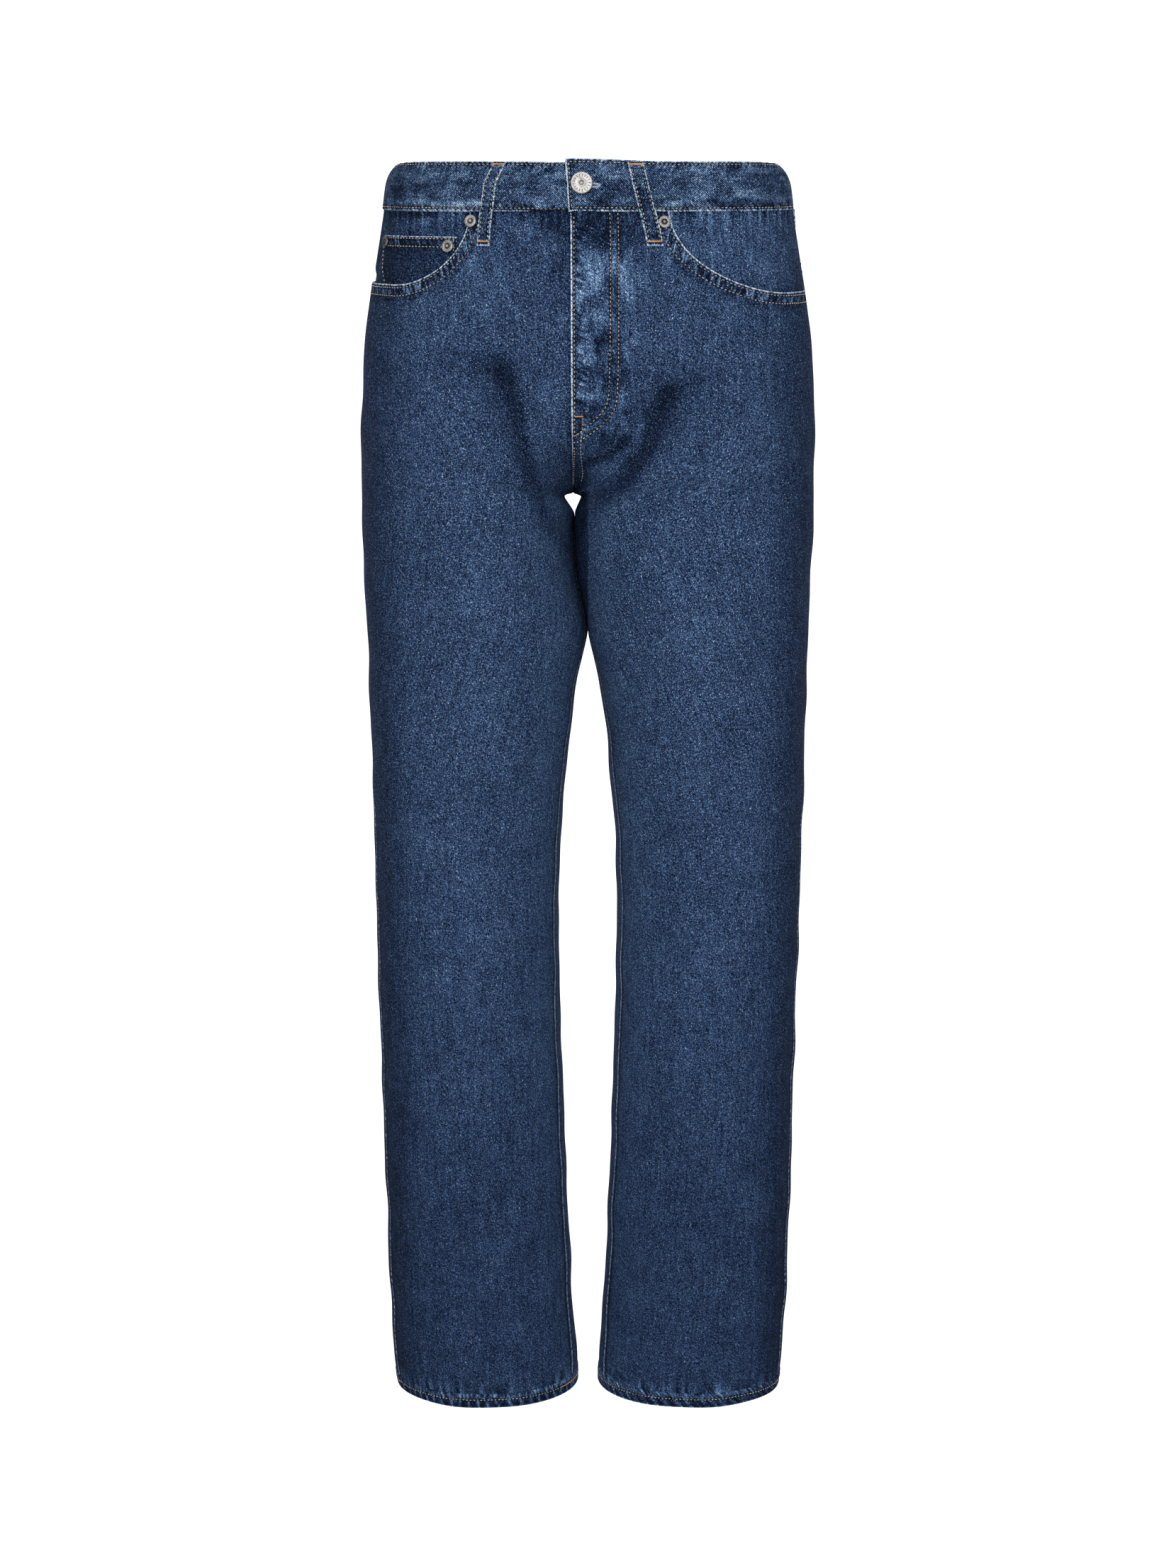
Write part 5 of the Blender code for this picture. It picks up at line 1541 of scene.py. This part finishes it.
for side, hand in SIDES:
    facing = cloth(f"pocket_facing_cloth_{hand}", 60, 36, facing_place(side))
    dress(facing, f"pocket_facing_{hand}")
coin = cloth("small_pocket", 48, 30, coin_place)
dress(coin, "coin_pocket")

# %% Fly underlap
FLY_STRIP_TOP_Z, FLY_STRIP_FOOT_Z = -0.0405, -0.190
FLY_STRIP_START, FLY_STRIP_WIDTH = 0.0006, 0.040


def underlap_place(across, down):
    z = FLY_STRIP_TOP_Z + (FLY_STRIP_FOOT_Z - FLY_STRIP_TOP_Z) * down + 0 * across
    along = FLY_STRIP_START + FLY_STRIP_WIDTH * across + 0 * z
    angle = on_face(along, z)
    z = np.minimum(z, seam_height(angle) - 2 * GAP)
    return {"laid": lay(1.0, angle, z, -UNDER - LAYER_GAP), "u": along, "v": z}


underlap = cloth("fly_underlap_cloth", 12, 40, underlap_place)
dress(underlap, "fly_underlap")

# %% Back pockets
BACK_POCKET_TOP = 0.082
BACK_POCKET_HEIGHT = 0.128
BACK_POCKET_POINT = 0.022
BACK_POCKET_TOP_WIDTH = 0.154
BACK_POCKET_FOOT_WIDTH = 0.128
BACK_POCKET_CENTRE = {1: 0.128, -1: 0.114}
BACK_POCKET_TILT = 0.03
BACK_POCKET_ROW = 0.011  # the row across its top
SEAM_LEVEL_Z = -0.045    # the waist seam's height is looked up at this level
PATCH_LIFT = 0.0014
PATCH_FOOT_LIFT = 0.0006


def back_pocket_width(down):
    """A back pocket narrows from its top to its foot."""
    return BACK_POCKET_TOP_WIDTH + (BACK_POCKET_FOOT_WIDTH - BACK_POCKET_TOP_WIDTH) * down


def back_pocket_spot(side, across, down):
    """The angle, height and lift of a point of a back pocket, and how far it is off centre."""
    from_centre = (across - 0.5) * back_pocket_width(down)
    point = BACK_POCKET_POINT * (1 - np.abs(2 * across - 1)) * down
    centre = np.full_like(from_centre, BACK_POCKET_CENTRE[side])
    top = seam_height(on_face(centre, np.full_like(centre, SEAM_LEVEL_Z), back=True)) - BACK_POCKET_TOP
    z = top - BACK_POCKET_TILT * from_centre - BACK_POCKET_HEIGHT * down - point
    lift = PATCH_LIFT + PATCH_FOOT_LIFT * down**2 + DENIM
    return on_face(centre + from_centre, z, back=True), z, lift, from_centre


def back_pocket_place(side):
    def place(across, down):
        across, down = bunched(across, 0.7), bunched(down, 0.7)
        angle, z, lift, from_centre = back_pocket_spot(side, across, down)
        sides = np.minimum(across, 1 - across) * back_pocket_width(down)
        foot = (1 - down) * (BACK_POCKET_HEIGHT + BACK_POCKET_POINT * (1 - np.abs(2 * across - 1)))
        top = down * BACK_POCKET_HEIGHT + 0 * across
        edge = np.minimum(np.minimum(sides, foot), top)
        return {
            "laid": lay(float(side), angle, z, lift), "sink": rounded(edge, 0.0006), "edge": edge,
            "pair": np.minimum(sides, foot) - EDGE_ROW - ROW_APART / 2, "row": top - BACK_POCKET_ROW,
            "walk": np.where(sides < np.minimum(foot, top), z, from_centre), "rub": 0.8,
            "gather": 0.9 * bump_at(edge - 0.0052, 0.005), "fade": 0.02, "u": -side * from_centre, "v": z,
        }

    return place


for side, hand in SIDES:
    pocket = cloth(f"back_pocket_patch_{hand}", 56, 56, back_pocket_place(side))
    dress(pocket, f"back_pocket_{hand}")

# %% [markdown]
# ## Belt loops
# A belt loop is a narrow strip folded in three, with a row of stitches down each side.
# It is sewn down at the waistband's top and just below the waist seam, and bows out
# between so that a belt can pass. Each loop leans with the way the cloth pulls.

# %% Belt loops
Loop = namedtuple("Loop", "node side back width top middle foot")
LOOPS = (
    Loop("belt_loop_front_right", -1, False, 0.0112, 0.0588, 0.0668, 0.0727),
    Loop("belt_loop_front_left", 1, False, 0.0118, 0.0490, 0.0520, 0.0628),
    Loop("belt_loop_side_right", -1, True, 0.0115, 0.1620, 0.1640, 0.1660),
    Loop("belt_loop_side_left", 1, True, 0.0115, 0.1960, 0.1980, 0.2000),
    Loop("belt_loop_back", 1, True, 0.0115, 0.0, 0.0, 0.0),
)
LOOP_TOP = 0.0385
LOOP_MIDDLE = 0.021
LOOP_FOOT = -0.027
LOOP_WALL = 0.0020
LOOP_TOP_LIFT = BAND_PROUD + 0.0009
LOOP_FOOT_LIFT = 0.0005
LOOP_BULGE = 0.0024
LOOP_ROW = 0.0022
LOOP_RIDGE = 0.00025     # the strip's folded edges show as a ridge inside each row


def loop_spot(loop, across, down):
    """The side, angle, height and lift of a point of a belt loop."""
    up = LOOP_TOP + (LOOP_FOOT - LOOP_TOP) * down
    heights, centres = (LOOP_FOOT, LOOP_MIDDLE, LOOP_TOP), (loop.foot, loop.middle, loop.top)
    along = np.interp(up, heights, centres) + loop.width * (across - 0.5) * loop.side
    angle = on_face(along, np.full_like(along, SEAM_LEVEL_Z), loop.back)
    side = np.full_like(along, loop.side)
    if loop.middle == 0:
        side = np.where(along < 0, -1.0, 1.0)
    z = seam_height(angle) + up
    ends = LOOP_TOP_LIFT + (LOOP_FOOT_LIFT - LOOP_TOP_LIFT) * smooth_step((down - 0.5) / 0.2)
    lift = ends + LOOP_BULGE * smooth_step(down / 0.3) * smooth_step((1 - down) / 0.25)
    lower = np.minimum(z, seam_height(angle) - 1e-4)
    angle = np.where(up < 0, on_face(along, lower, loop.back), angle)
    return side, angle, z, lift + LOOP_WALL + 0 * along


def loop_place(loop):
    def place(across, down):
        across, down = bunched(across, 0.75), bunched(down, 0.5)
        across, down = np.broadcast_arrays(across, down)
        sides = np.minimum(across, 1 - across) * loop.width
        ends = np.minimum(down, 1 - down) * (LOOP_TOP - LOOP_FOOT)
        side, angle, z, lift = loop_spot(loop, across, down)
        lift = lift + LOOP_RIDGE * bump_at(sides - 0.0042, 0.0012)
        length = -down * (LOOP_TOP - LOOP_FOOT)
        return {
            "laid": lay(side, angle, z, lift), "sink": rounded(np.minimum(sides, ends), 0.0009),
            "edge": np.minimum(sides, ends + 0.0003), "row": sides - LOOP_ROW, "walk": length,
            "gather": 0.5, "rub": 0.75, "mottle": 0.40, "rib": 0.45, "fade": -0.06,
            "u": across * loop.width, "v": length,
        }

    return place


for loop in LOOPS:
    strip = cloth(loop.node.replace("belt_loop", "loop_strip"), 12, 44, loop_place(loop), LOOP_WALL)
    dress(strip, loop.node)

# %% [markdown]
# ## Thread
# The seams are sewn in a thick tan thread, and each place that takes a pull is locked
# with a bar of tight orange stitches. One stitch is a little arched bead: a sphere with
# a few faces, squeezed and bent. It is modelled once and copied along every row, one
# stitch after another, with a small gap where the needle went in.

# %% Thread
PITCH = 0.0034           # from one stitch to the next
HEM_PITCH = 0.0030       # the same, along a hem
STITCH_LENGTH = 0.0022
THREAD = 0.00040         # half the thread's thickness
BAR_THREAD = 0.00034     # the same, in a bar of tight stitches
BAR_PITCH = 0.00052      # from one stitch of a bar to the next
WOBBLE = 0.00007         # how far a stitch lies off its line


def thread_stuff(name, light, dark):
    stuff, tree, shader = blank_stuff(name, 0.7)
    shader.inputs["Specular IOR Level"].default_value = 0.3
    place = add(tree, "ShaderNodeTexCoord").outputs["Object"]
    worn = calc(tree, "MULTIPLY_ADD", noise(tree, place, 0.009, 2.0), 2.2, 0.5)
    ply = calc(tree, "MULTIPLY_ADD", noise(tree, place, 0.0005, 1.0), 1.2, 0.0)
    tones = {"Factor": calc(tree, "ADD", worn, ply), 6: dark, 7: light}
    mix = add(tree, "ShaderNodeMix", tones, data_type="RGBA")
    tree.links.new(mix.outputs[2], shader.inputs["Base Color"])
    relief(tree, shader, ply, 0.4, 0.0001)
    return stuff


TAN = thread_stuff("tan thread", tint(215, 204, 185), tint(132, 115, 97))
ORANGE = thread_stuff("orange thread", tint(240, 174, 98), tint(206, 136, 68))

# %% One stitch, and copies of it
bpy.ops.object.select_all(action="DESELECT")
bpy.ops.mesh.primitive_uv_sphere_add(segments=6, ring_count=5, radius=1.0)
bead = bpy.context.object
bpy.ops.object.mode_set(mode="EDIT")
bpy.ops.mesh.select_all(action="SELECT")
bpy.ops.transform.rotate(value=math.pi / 2, orient_axis="Y", center_override=(0, 0, 0))
bpy.ops.object.mode_set(mode="OBJECT")
BEAD_POINTS = np.array([v.co for v in bead.data.vertices])
BEAD_FACES = [tuple(face.vertices) for face in bead.data.polygons]
bpy.data.objects.remove(bead, do_unlink=True)
print("a stitch has", len(BEAD_FACES), "faces")


def beads(centres, along, normals, length, thick, sunk=0.35):
    """Copies of the bead at the centres, each turned along its own direction."""
    along = unit(along)
    beside = unit(np.cross(normals, along))
    up = np.cross(along, beside)
    x, y, z = BEAD_POINTS.T
    arch = thick * (0.55 - sunk) - thick * 0.9 * x**2
    return (
        centres[:, None]
        + along[:, None] * (x * length / 2)[None, :, None]
        + beside[:, None] * (y * thick)[None, :, None]
        + up[:, None] * (z * thick * 0.9 + arch)[None, :, None]
    )


def measured(laid, pitch):
    """Evenly spaced points along a laid line, with their directions and normals."""
    steps = run_of(np.linalg.norm(np.diff(laid.point, axis=0), axis=-1))
    count = max(int(steps[-1] / pitch), 1)
    wanted = (np.arange(count) + 0.5) * steps[-1] / count
    reach = pitch * 0.3

    def at(places, values):
        return np.stack([np.interp(places, steps, values[:, k]) for k in range(3)], -1)

    along = at(wanted + reach, laid.point) - at(wanted - reach, laid.point)
    return at(wanted, laid.point), along, at(wanted, laid.normal)


def row_of(laid, pitch=PITCH):
    """One row of stitches along a laid line."""
    centres, along, normals = measured(laid, pitch)
    wobble = chance.normal(size=centres.shape) * WOBBLE
    return beads(centres + wobble, along, normals, STITCH_LENGTH * pitch / PITCH, THREAD)


def bar_of(laid, width=0.0019):
    """A bar tack: tight stitches laid across a short line."""
    centres, along, normals = measured(laid, BAR_PITCH)
    across = np.cross(normals, along)
    return beads(centres, across, normals, width, BAR_THREAD, 0.1)


def sewn(name, parts, stuff):
    """Makes one piece of many stitches."""
    points = np.concatenate([part.reshape(-1, 3) for part in parts])
    count = len(points) // len(BEAD_POINTS)
    faces = [tuple(k * len(BEAD_POINTS) + i for i in face) for k in range(count) for face in BEAD_FACES]
    mesh = bpy.data.meshes.new(name)
    mesh.from_pydata(points.tolist(), [], faces)
    piece = bpy.data.objects.new(name, mesh)
    bpy.context.scene.collection.objects.link(piece)
    mesh.materials.append(stuff)
    pick(piece)
    face_outwards()
    bpy.ops.object.shade_smooth()
    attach(piece, "root")
    print(name, count, "stitches")


# %% [markdown]
# ## Rows of stitches
# The rows follow the cut lines that the pieces gave above: two round each pocket mouth,
# two down the fly in a J, one close to the fly's edge, one along each edge of the
# waistband, and so on round the garment.

# %% Rows on the front
ON_TOP = 0.0001


def on_front(side, line):
    """Lays a line of (across, height) on a front panel."""
    across, z = line[:, 0], line[:, 1]
    return lay(float(side), across_to(side, across, z), z, ON_TOP, fly_rise(side, across, z))


def straight(across0, z0, across1, z1, count=60):
    """A straight line of points (across, height)."""
    return np.stack([np.linspace(across0, across1, count), np.linspace(z0, z1, count)], -1)


front_rows = []
for side in (1, -1):
    # walked outwards along the mouth, the panel lies to the right
    for step in (MOUTH_ROW, MOUTH_ROW + ROW_APART):
        line = aside(smooth_line(mouth_lines[side][::3]), step)
        top = seam_height(across_to(side, line[:, 0], np.minimum(line[:, 1], -0.03))) - 0.002
        line = line[line[:, 1] < top]
        front_rows.append(row_of(on_front(side, line)))
BELOW_FLY = smooth_line([(0.0094, -0.2035), (0.0094, -0.217), (0.0121, -0.231), (0.0190, -0.248)])
for line in (
    J_OUTER, J_INNER, straight(FLY_ROW, -0.042, FLY_ROW, -0.208),
    straight(FLY_ROW, -0.218, 0.0036, -0.250), BELOW_FLY,
):
    front_rows.append(row_of(on_front(1, line)))
sewn("stitches_front", front_rows, TAN)

# %% Rows on the waistband and hems


def on_band(arc, up):
    """Lays a line on the waistband, from how far round and how far up it runs."""
    side, angle, z, proud = band_spot(arc, up)
    return lay(side, angle, z, proud + ON_TOP)


band_rows = []
arcs = np.linspace(0.0, WAIST_ROUND - 0.004, 900)
band_rows.append(row_of(on_band(arcs, np.full_like(arcs, BAND_ROW))))
band_rows.append(row_of(on_band(arcs - 0.0015, np.full_like(arcs, BAND_HEIGHT - BAND_ROW))))
ups = np.linspace(BAND_ROW, BAND_HEIGHT - BAND_ROW, 60)
band_rows.append(row_of(on_band(overlap_end(ups) + BAND_ROW, ups)))
sewn("stitches_waistband", band_rows, TAN)

hem_rows = []
for side in (1, -1):
    angles = np.linspace(-math.pi, math.pi, 700)
    heights = np.full_like(angles, HEM_Z + HEM_ROW)
    hem_rows.append(row_of(lay(float(side), angles, heights, HEM_PROUD + ON_TOP), HEM_PITCH))
sewn("stitches_hems", hem_rows, TAN)

# %% Rows on the loops and pockets
loop_rows = []
for loop in LOOPS:
    for share in (LOOP_ROW / loop.width, 1 - LOOP_ROW / loop.width):
        down = np.linspace(0.03, 0.97, 60)
        side, angle, z, lift = loop_spot(loop, np.full_like(down, share), down)
        loop_rows.append(row_of(lay(side, angle, z, lift + ON_TOP)))


def on_coin(across, down):
    angle, z, lift, _, _ = coin_spot(across, down)
    return lay(-1.0, angle, z, lift + ON_TOP)


COIN_TALL = COIN_FOOT - COIN_TOP
shares = np.linspace(0.01, 0.99, 80)
for drop in (EDGE_ROW, EDGE_ROW + ROW_APART):
    loop_rows.append(row_of(on_coin(shares, np.full_like(shares, drop / COIN_TALL))))
downs = np.linspace(0.03, 0.97, 60)
for share in (0.029, 0.971):
    loop_rows.append(row_of(on_coin(np.full_like(downs, share), downs)))


def on_back_pocket(side, across, down):
    angle, z, lift, _ = back_pocket_spot(side, across, down)
    return lay(float(side), angle, z, lift + ON_TOP)


for side in (1, -1):
    for step in (EDGE_ROW, EDGE_ROW + ROW_APART):
        wide = back_pocket_width(downs)
        low = 1 - step / BACK_POCKET_HEIGHT
        inset = step / BACK_POCKET_TOP_WIDTH
        for share in (step / wide, 1 - step / wide):
            loop_rows.append(row_of(on_back_pocket(side, share, downs * low)))
        run = np.linspace(inset, 1 - inset, 90)
        loop_rows.append(row_of(on_back_pocket(side, run, np.full_like(run, low))))
    run = np.linspace(0.01, 0.99, 90)
    top_row = np.full_like(run, BACK_POCKET_ROW / BACK_POCKET_HEIGHT)
    loop_rows.append(row_of(on_back_pocket(side, run, top_row)))
sewn("stitches_pockets_and_loops", loop_rows, TAN)

# %% Rows on the back


def on_back(side, across, z):
    return lay(float(side), across_to(side, across, z, back=True), z, ON_TOP)


back_rows = []
for side in (1, -1):
    share = np.linspace(0.01, 0.99, 120)
    for step in (EDGE_ROW, EDGE_ROW + ROW_APART):
        z = seam_over(side, share, BACK_TOP_Z, back=True) - yoke_drop(share) - GAP - step
        back_rows.append(row_of(lay(float(side), on_panel(side, share, z, back=True)[0], z, ON_TOP)))
        if side > 0:
            z = np.linspace(-0.045, -0.245, 120)
            back_rows.append(row_of(on_back(side, np.full_like(z, step), z)))
sewn("stitches_back", back_rows, TAN)

# %% Bar tacks
bars = []
for loop in LOOPS:
    for down in (0.035, 0.95):
        run = np.linspace(0.06, 0.94, 24)
        side, angle, z, lift = loop_spot(loop, run, np.full_like(run, down))
        bars.append(bar_of(lay(side, angle, z, lift + ON_TOP), 0.0014))
bars.append(bar_of(on_front(1, straight(0.0028, -0.1955, 0.0096, -0.1955, 24)), 0.0012))
bars.append(row_of(on_front(1, straight(0.0094, -0.1965, 0.0094, -0.2030)), 0.0019))
bars.append(row_of(on_front(1, straight(0.0010, -0.2096, 0.0055, -0.2085)), 0.0016))
hem_end = np.radians(np.linspace(4, 36, 60))
bars.append(row_of(lay(-1.0, hem_end, np.full_like(hem_end, HEM_Z + HEM_ROW), HEM_PROUD + 0.0003), 0.0019))
sewn("bar_tacks", bars, ORANGE)

# %% [markdown]
# ## Buttonhole
# The buttonhole is a slit bound with tight stitches laid across its edge, all the way
# round. Most of it is under the button. A row of dark beads down the slit is painted
# shade in its gap.

# %% Buttonhole
HOLE_LEFT, HOLE_RIGHT = 0.0012, 0.0224
HOLE_UP = 0.0194
HOLE_HALF = 0.0013
SLIT_LEFT = 0.0100       # the button hides the rest
turn = np.linspace(0, 2 * math.pi, 160)
stretched = np.sign(np.cos(turn)) * np.abs(np.cos(turn)) ** 0.6
hole_arc = (HOLE_LEFT + HOLE_RIGHT) / 2 + (HOLE_RIGHT - HOLE_LEFT) / 2 * stretched
hole_up = HOLE_UP + HOLE_HALF * np.sin(turn)
inside_band = hole_arc > OVERLAP_TOP + 0.004
hole = on_band(hole_arc[inside_band], hole_up[inside_band])
FRAYED = thread_stuff("frayed thread", tint(206, 222, 234), tint(98, 124, 156))
sewn("buttonhole", [bar_of(hole, 0.0017)], FRAYED)
# a row of dark beads along the slit: painted shade in its gap
slit = np.linspace(SLIT_LEFT, HOLE_RIGHT - 0.0012, 30)
slit_shadow_row = row_of(on_band(slit, np.full_like(slit, HOLE_UP)), 0.0012)
SLIT_SHADOW = thread_stuff("painted slit shadow", tint(24, 28, 40), tint(12, 15, 24))
sewn("buttonhole_slit_shadow", [slit_shadow_row], SLIT_SHADOW)

# %% [markdown]
# ## Rivets and button
# Each rivet is a dished ring with a nub in its middle, and the button is a larger cap
# with a rim. Both are turned shapes: a profile is drawn as a line of points, and Screw
# sweeps it round. The ring carries a row of plain raised dashes. Dirt stays in the dish,
# so each point carries how grimy it is. The small pocket's outer rivet, which turns away
# to the side, is darkened all over as well: painted shade.

# %% Metal


def metal_stuff():
    stuff, tree, shader = blank_stuff("grimy metal", 0.5)
    shader.inputs["Metallic"].default_value = 0.75
    place = add(tree, "ShaderNodeTexCoord").outputs["Object"]
    spots = noise(tree, place, 0.0012, 3.0)
    grime_and_shade = add(tree, "ShaderNodeAttribute", attribute_name="grime_and_shade").outputs["Fac"]
    shades = calc(tree, "MULTIPLY", noise(tree, place, 0.0055, 1.0), 1.3)
    dark = calc(tree, "ADD", calc(tree, "MULTIPLY_ADD", spots, 0.7, grime_and_shade), shades)
    tones = {"Factor": dark, 6: tint(152, 149, 145), 7: tint(24, 22, 23)}
    mix = add(tree, "ShaderNodeMix", tones, data_type="RGBA")
    tree.links.new(mix.outputs[2], shader.inputs["Base Color"])
    rough = calc(tree, "MULTIPLY_ADD", spots, 0.5, 0.42)
    tree.links.new(rough, shader.inputs["Roughness"])
    relief(tree, shader, spots, 0.22, 0.0003)
    return stuff


METAL = metal_stuff()
print("metal has", len(METAL.node_tree.nodes), "nodes")

# %% Turned pieces
# A profile's points are (radius, height, grime).
RIVET = (
    (0.0, 0.0017, 0.1), (0.0007, 0.00165, 0.1), (0.0011, 0.0013, 0.5), (0.0013, 0.0007, 1.0),
    (0.0020, 0.0006, 1.0), (0.0024, 0.0011, 0.5), (0.0028, 0.0014, 0.1), (0.0041, 0.0014, 0.15),
    (0.0046, 0.0011, 0.1), (0.0049, 0.0006, 0.4), (0.0049, 0.0001, 0.8),
)
BUTTON = (
    (0.0, 0.0029, 0.0), (0.0007, 0.0029, 0.1), (0.0013, 0.0025, 0.7), (0.0018, 0.0026, 0.6),
    (0.0024, 0.0031, -0.1), (0.0030, 0.0029, 0.35), (0.0036, 0.0028, 0.05), (0.0072, 0.0028, 0.05),
    (0.0078, 0.0030, -0.1), (0.0083, 0.0028, 0.0), (0.00860, 0.0022, 0.2), (0.00865, 0.0012, 0.8),
    (0.0070, 0.0001, 1.0),
)


def metal_piece(name, node, profile, dashes, dash_at, spot, lift, painted_shade=0.0):
    """A turned piece with a ring of raised dashes, set on the skin."""
    corners = [(radius, 0.0, height) for radius, height, _ in profile]
    outline = bpy.data.meshes.new(name)
    outline.from_pydata(corners, [(k, k + 1) for k in range(len(corners) - 1)], [])
    piece = bpy.data.objects.new(name, outline)
    bpy.context.scene.collection.objects.link(piece)
    pick(piece)
    sweep_round = piece.modifiers.new("turning", "SCREW")
    sweep_round.steps = sweep_round.render_steps = 48
    sweep_round.use_merge_vertices = True
    sweep_round.merge_threshold = 1e-6
    bpy.ops.object.modifier_apply(modifier="turning")

    radius, tall, length, wide, dash_grime = dash_at
    turned_count = len(piece.data.vertices)
    for k in range(dashes):
        bpy.ops.mesh.primitive_uv_sphere_add(segments=8, ring_count=6, radius=1.0)
        dash = bpy.context.object
        dash.data.transform(
            Matrix.Rotation(2 * math.pi * k / dashes, 4, "Z")
            @ Matrix.Translation((radius, 0, tall))
            @ Matrix.Diagonal((length, wide, wide, 1))
        )
        dash.select_set(True)
        piece.select_set(True)
        bpy.context.view_layer.objects.active = piece
        bpy.ops.object.join()
    co = np.array([v.co for v in piece.data.vertices])
    radius_at, height_at, grime_at = np.array(profile).T
    away = np.hypot(np.hypot(co[:, 0], co[:, 1])[:, None] - radius_at, co[:, 2:] - height_at)
    grime_and_shade = grime_at[away.argmin(axis=1)]
    grime_and_shade[turned_count:] = dash_grime
    # each point's grime, plus painted shade over the whole of a piece that turns away from the light
    give(piece.data, "grime_and_shade", grime_and_shade + painted_shade)

    face_outwards()
    bpy.ops.object.shade_smooth()
    side, angle, z = (np.array([float(value)]) for value in spot)
    seat = lay(side, np.radians(angle), z, lift)
    turn_to = Vector((0, 0, 1)).rotation_difference(Vector(seat.normal[0])).to_matrix().to_4x4()
    piece.data.transform(Matrix.Translation(Vector(seat.point[0])) @ turn_to)
    piece.data.materials.append(METAL)
    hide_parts(node)
    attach(piece, "root")
    print(name, len(piece.data.polygons), "faces")


# %% The rivets and the button in place
# A dash is (radius of its ring, height, half length, half width, grime), and a place is
# (side, angle in degrees, height).
RIVET_DASH = (0.0035, 0.00140, 0.0006, 0.00022, 0.85)
BUTTON_DASH = (0.0059, 0.0028, 0.0011, 0.00026, 0.9)
# The last number darkens a whole piece: the small pocket's outer rivet turns away to the side, so its
# darkness is painted shade.
RIVETS = (
    ("pocket_right", (-1, 118.1, -0.0450), 0.0006, 0.0),
    ("coin_inner", (-1, 124.5, -0.0640), 0.0008, 0.0),
    ("coin_outer", (-1, 154.0, -0.0560), 0.0006, 0.75),
    ("pocket_left", (1, 113.0, -0.0460), 0.0006, 0.0),
)
for where, spot, lift, painted_shade in RIVETS:
    metal_piece(f"rivet_cap_{where}", f"rivet_{where}", RIVET, 12, RIVET_DASH, spot, lift, painted_shade)
metal_piece("button_cap", "button", BUTTON, 17, BUTTON_DASH, (1, 92.9, -0.0170), 0.0024)
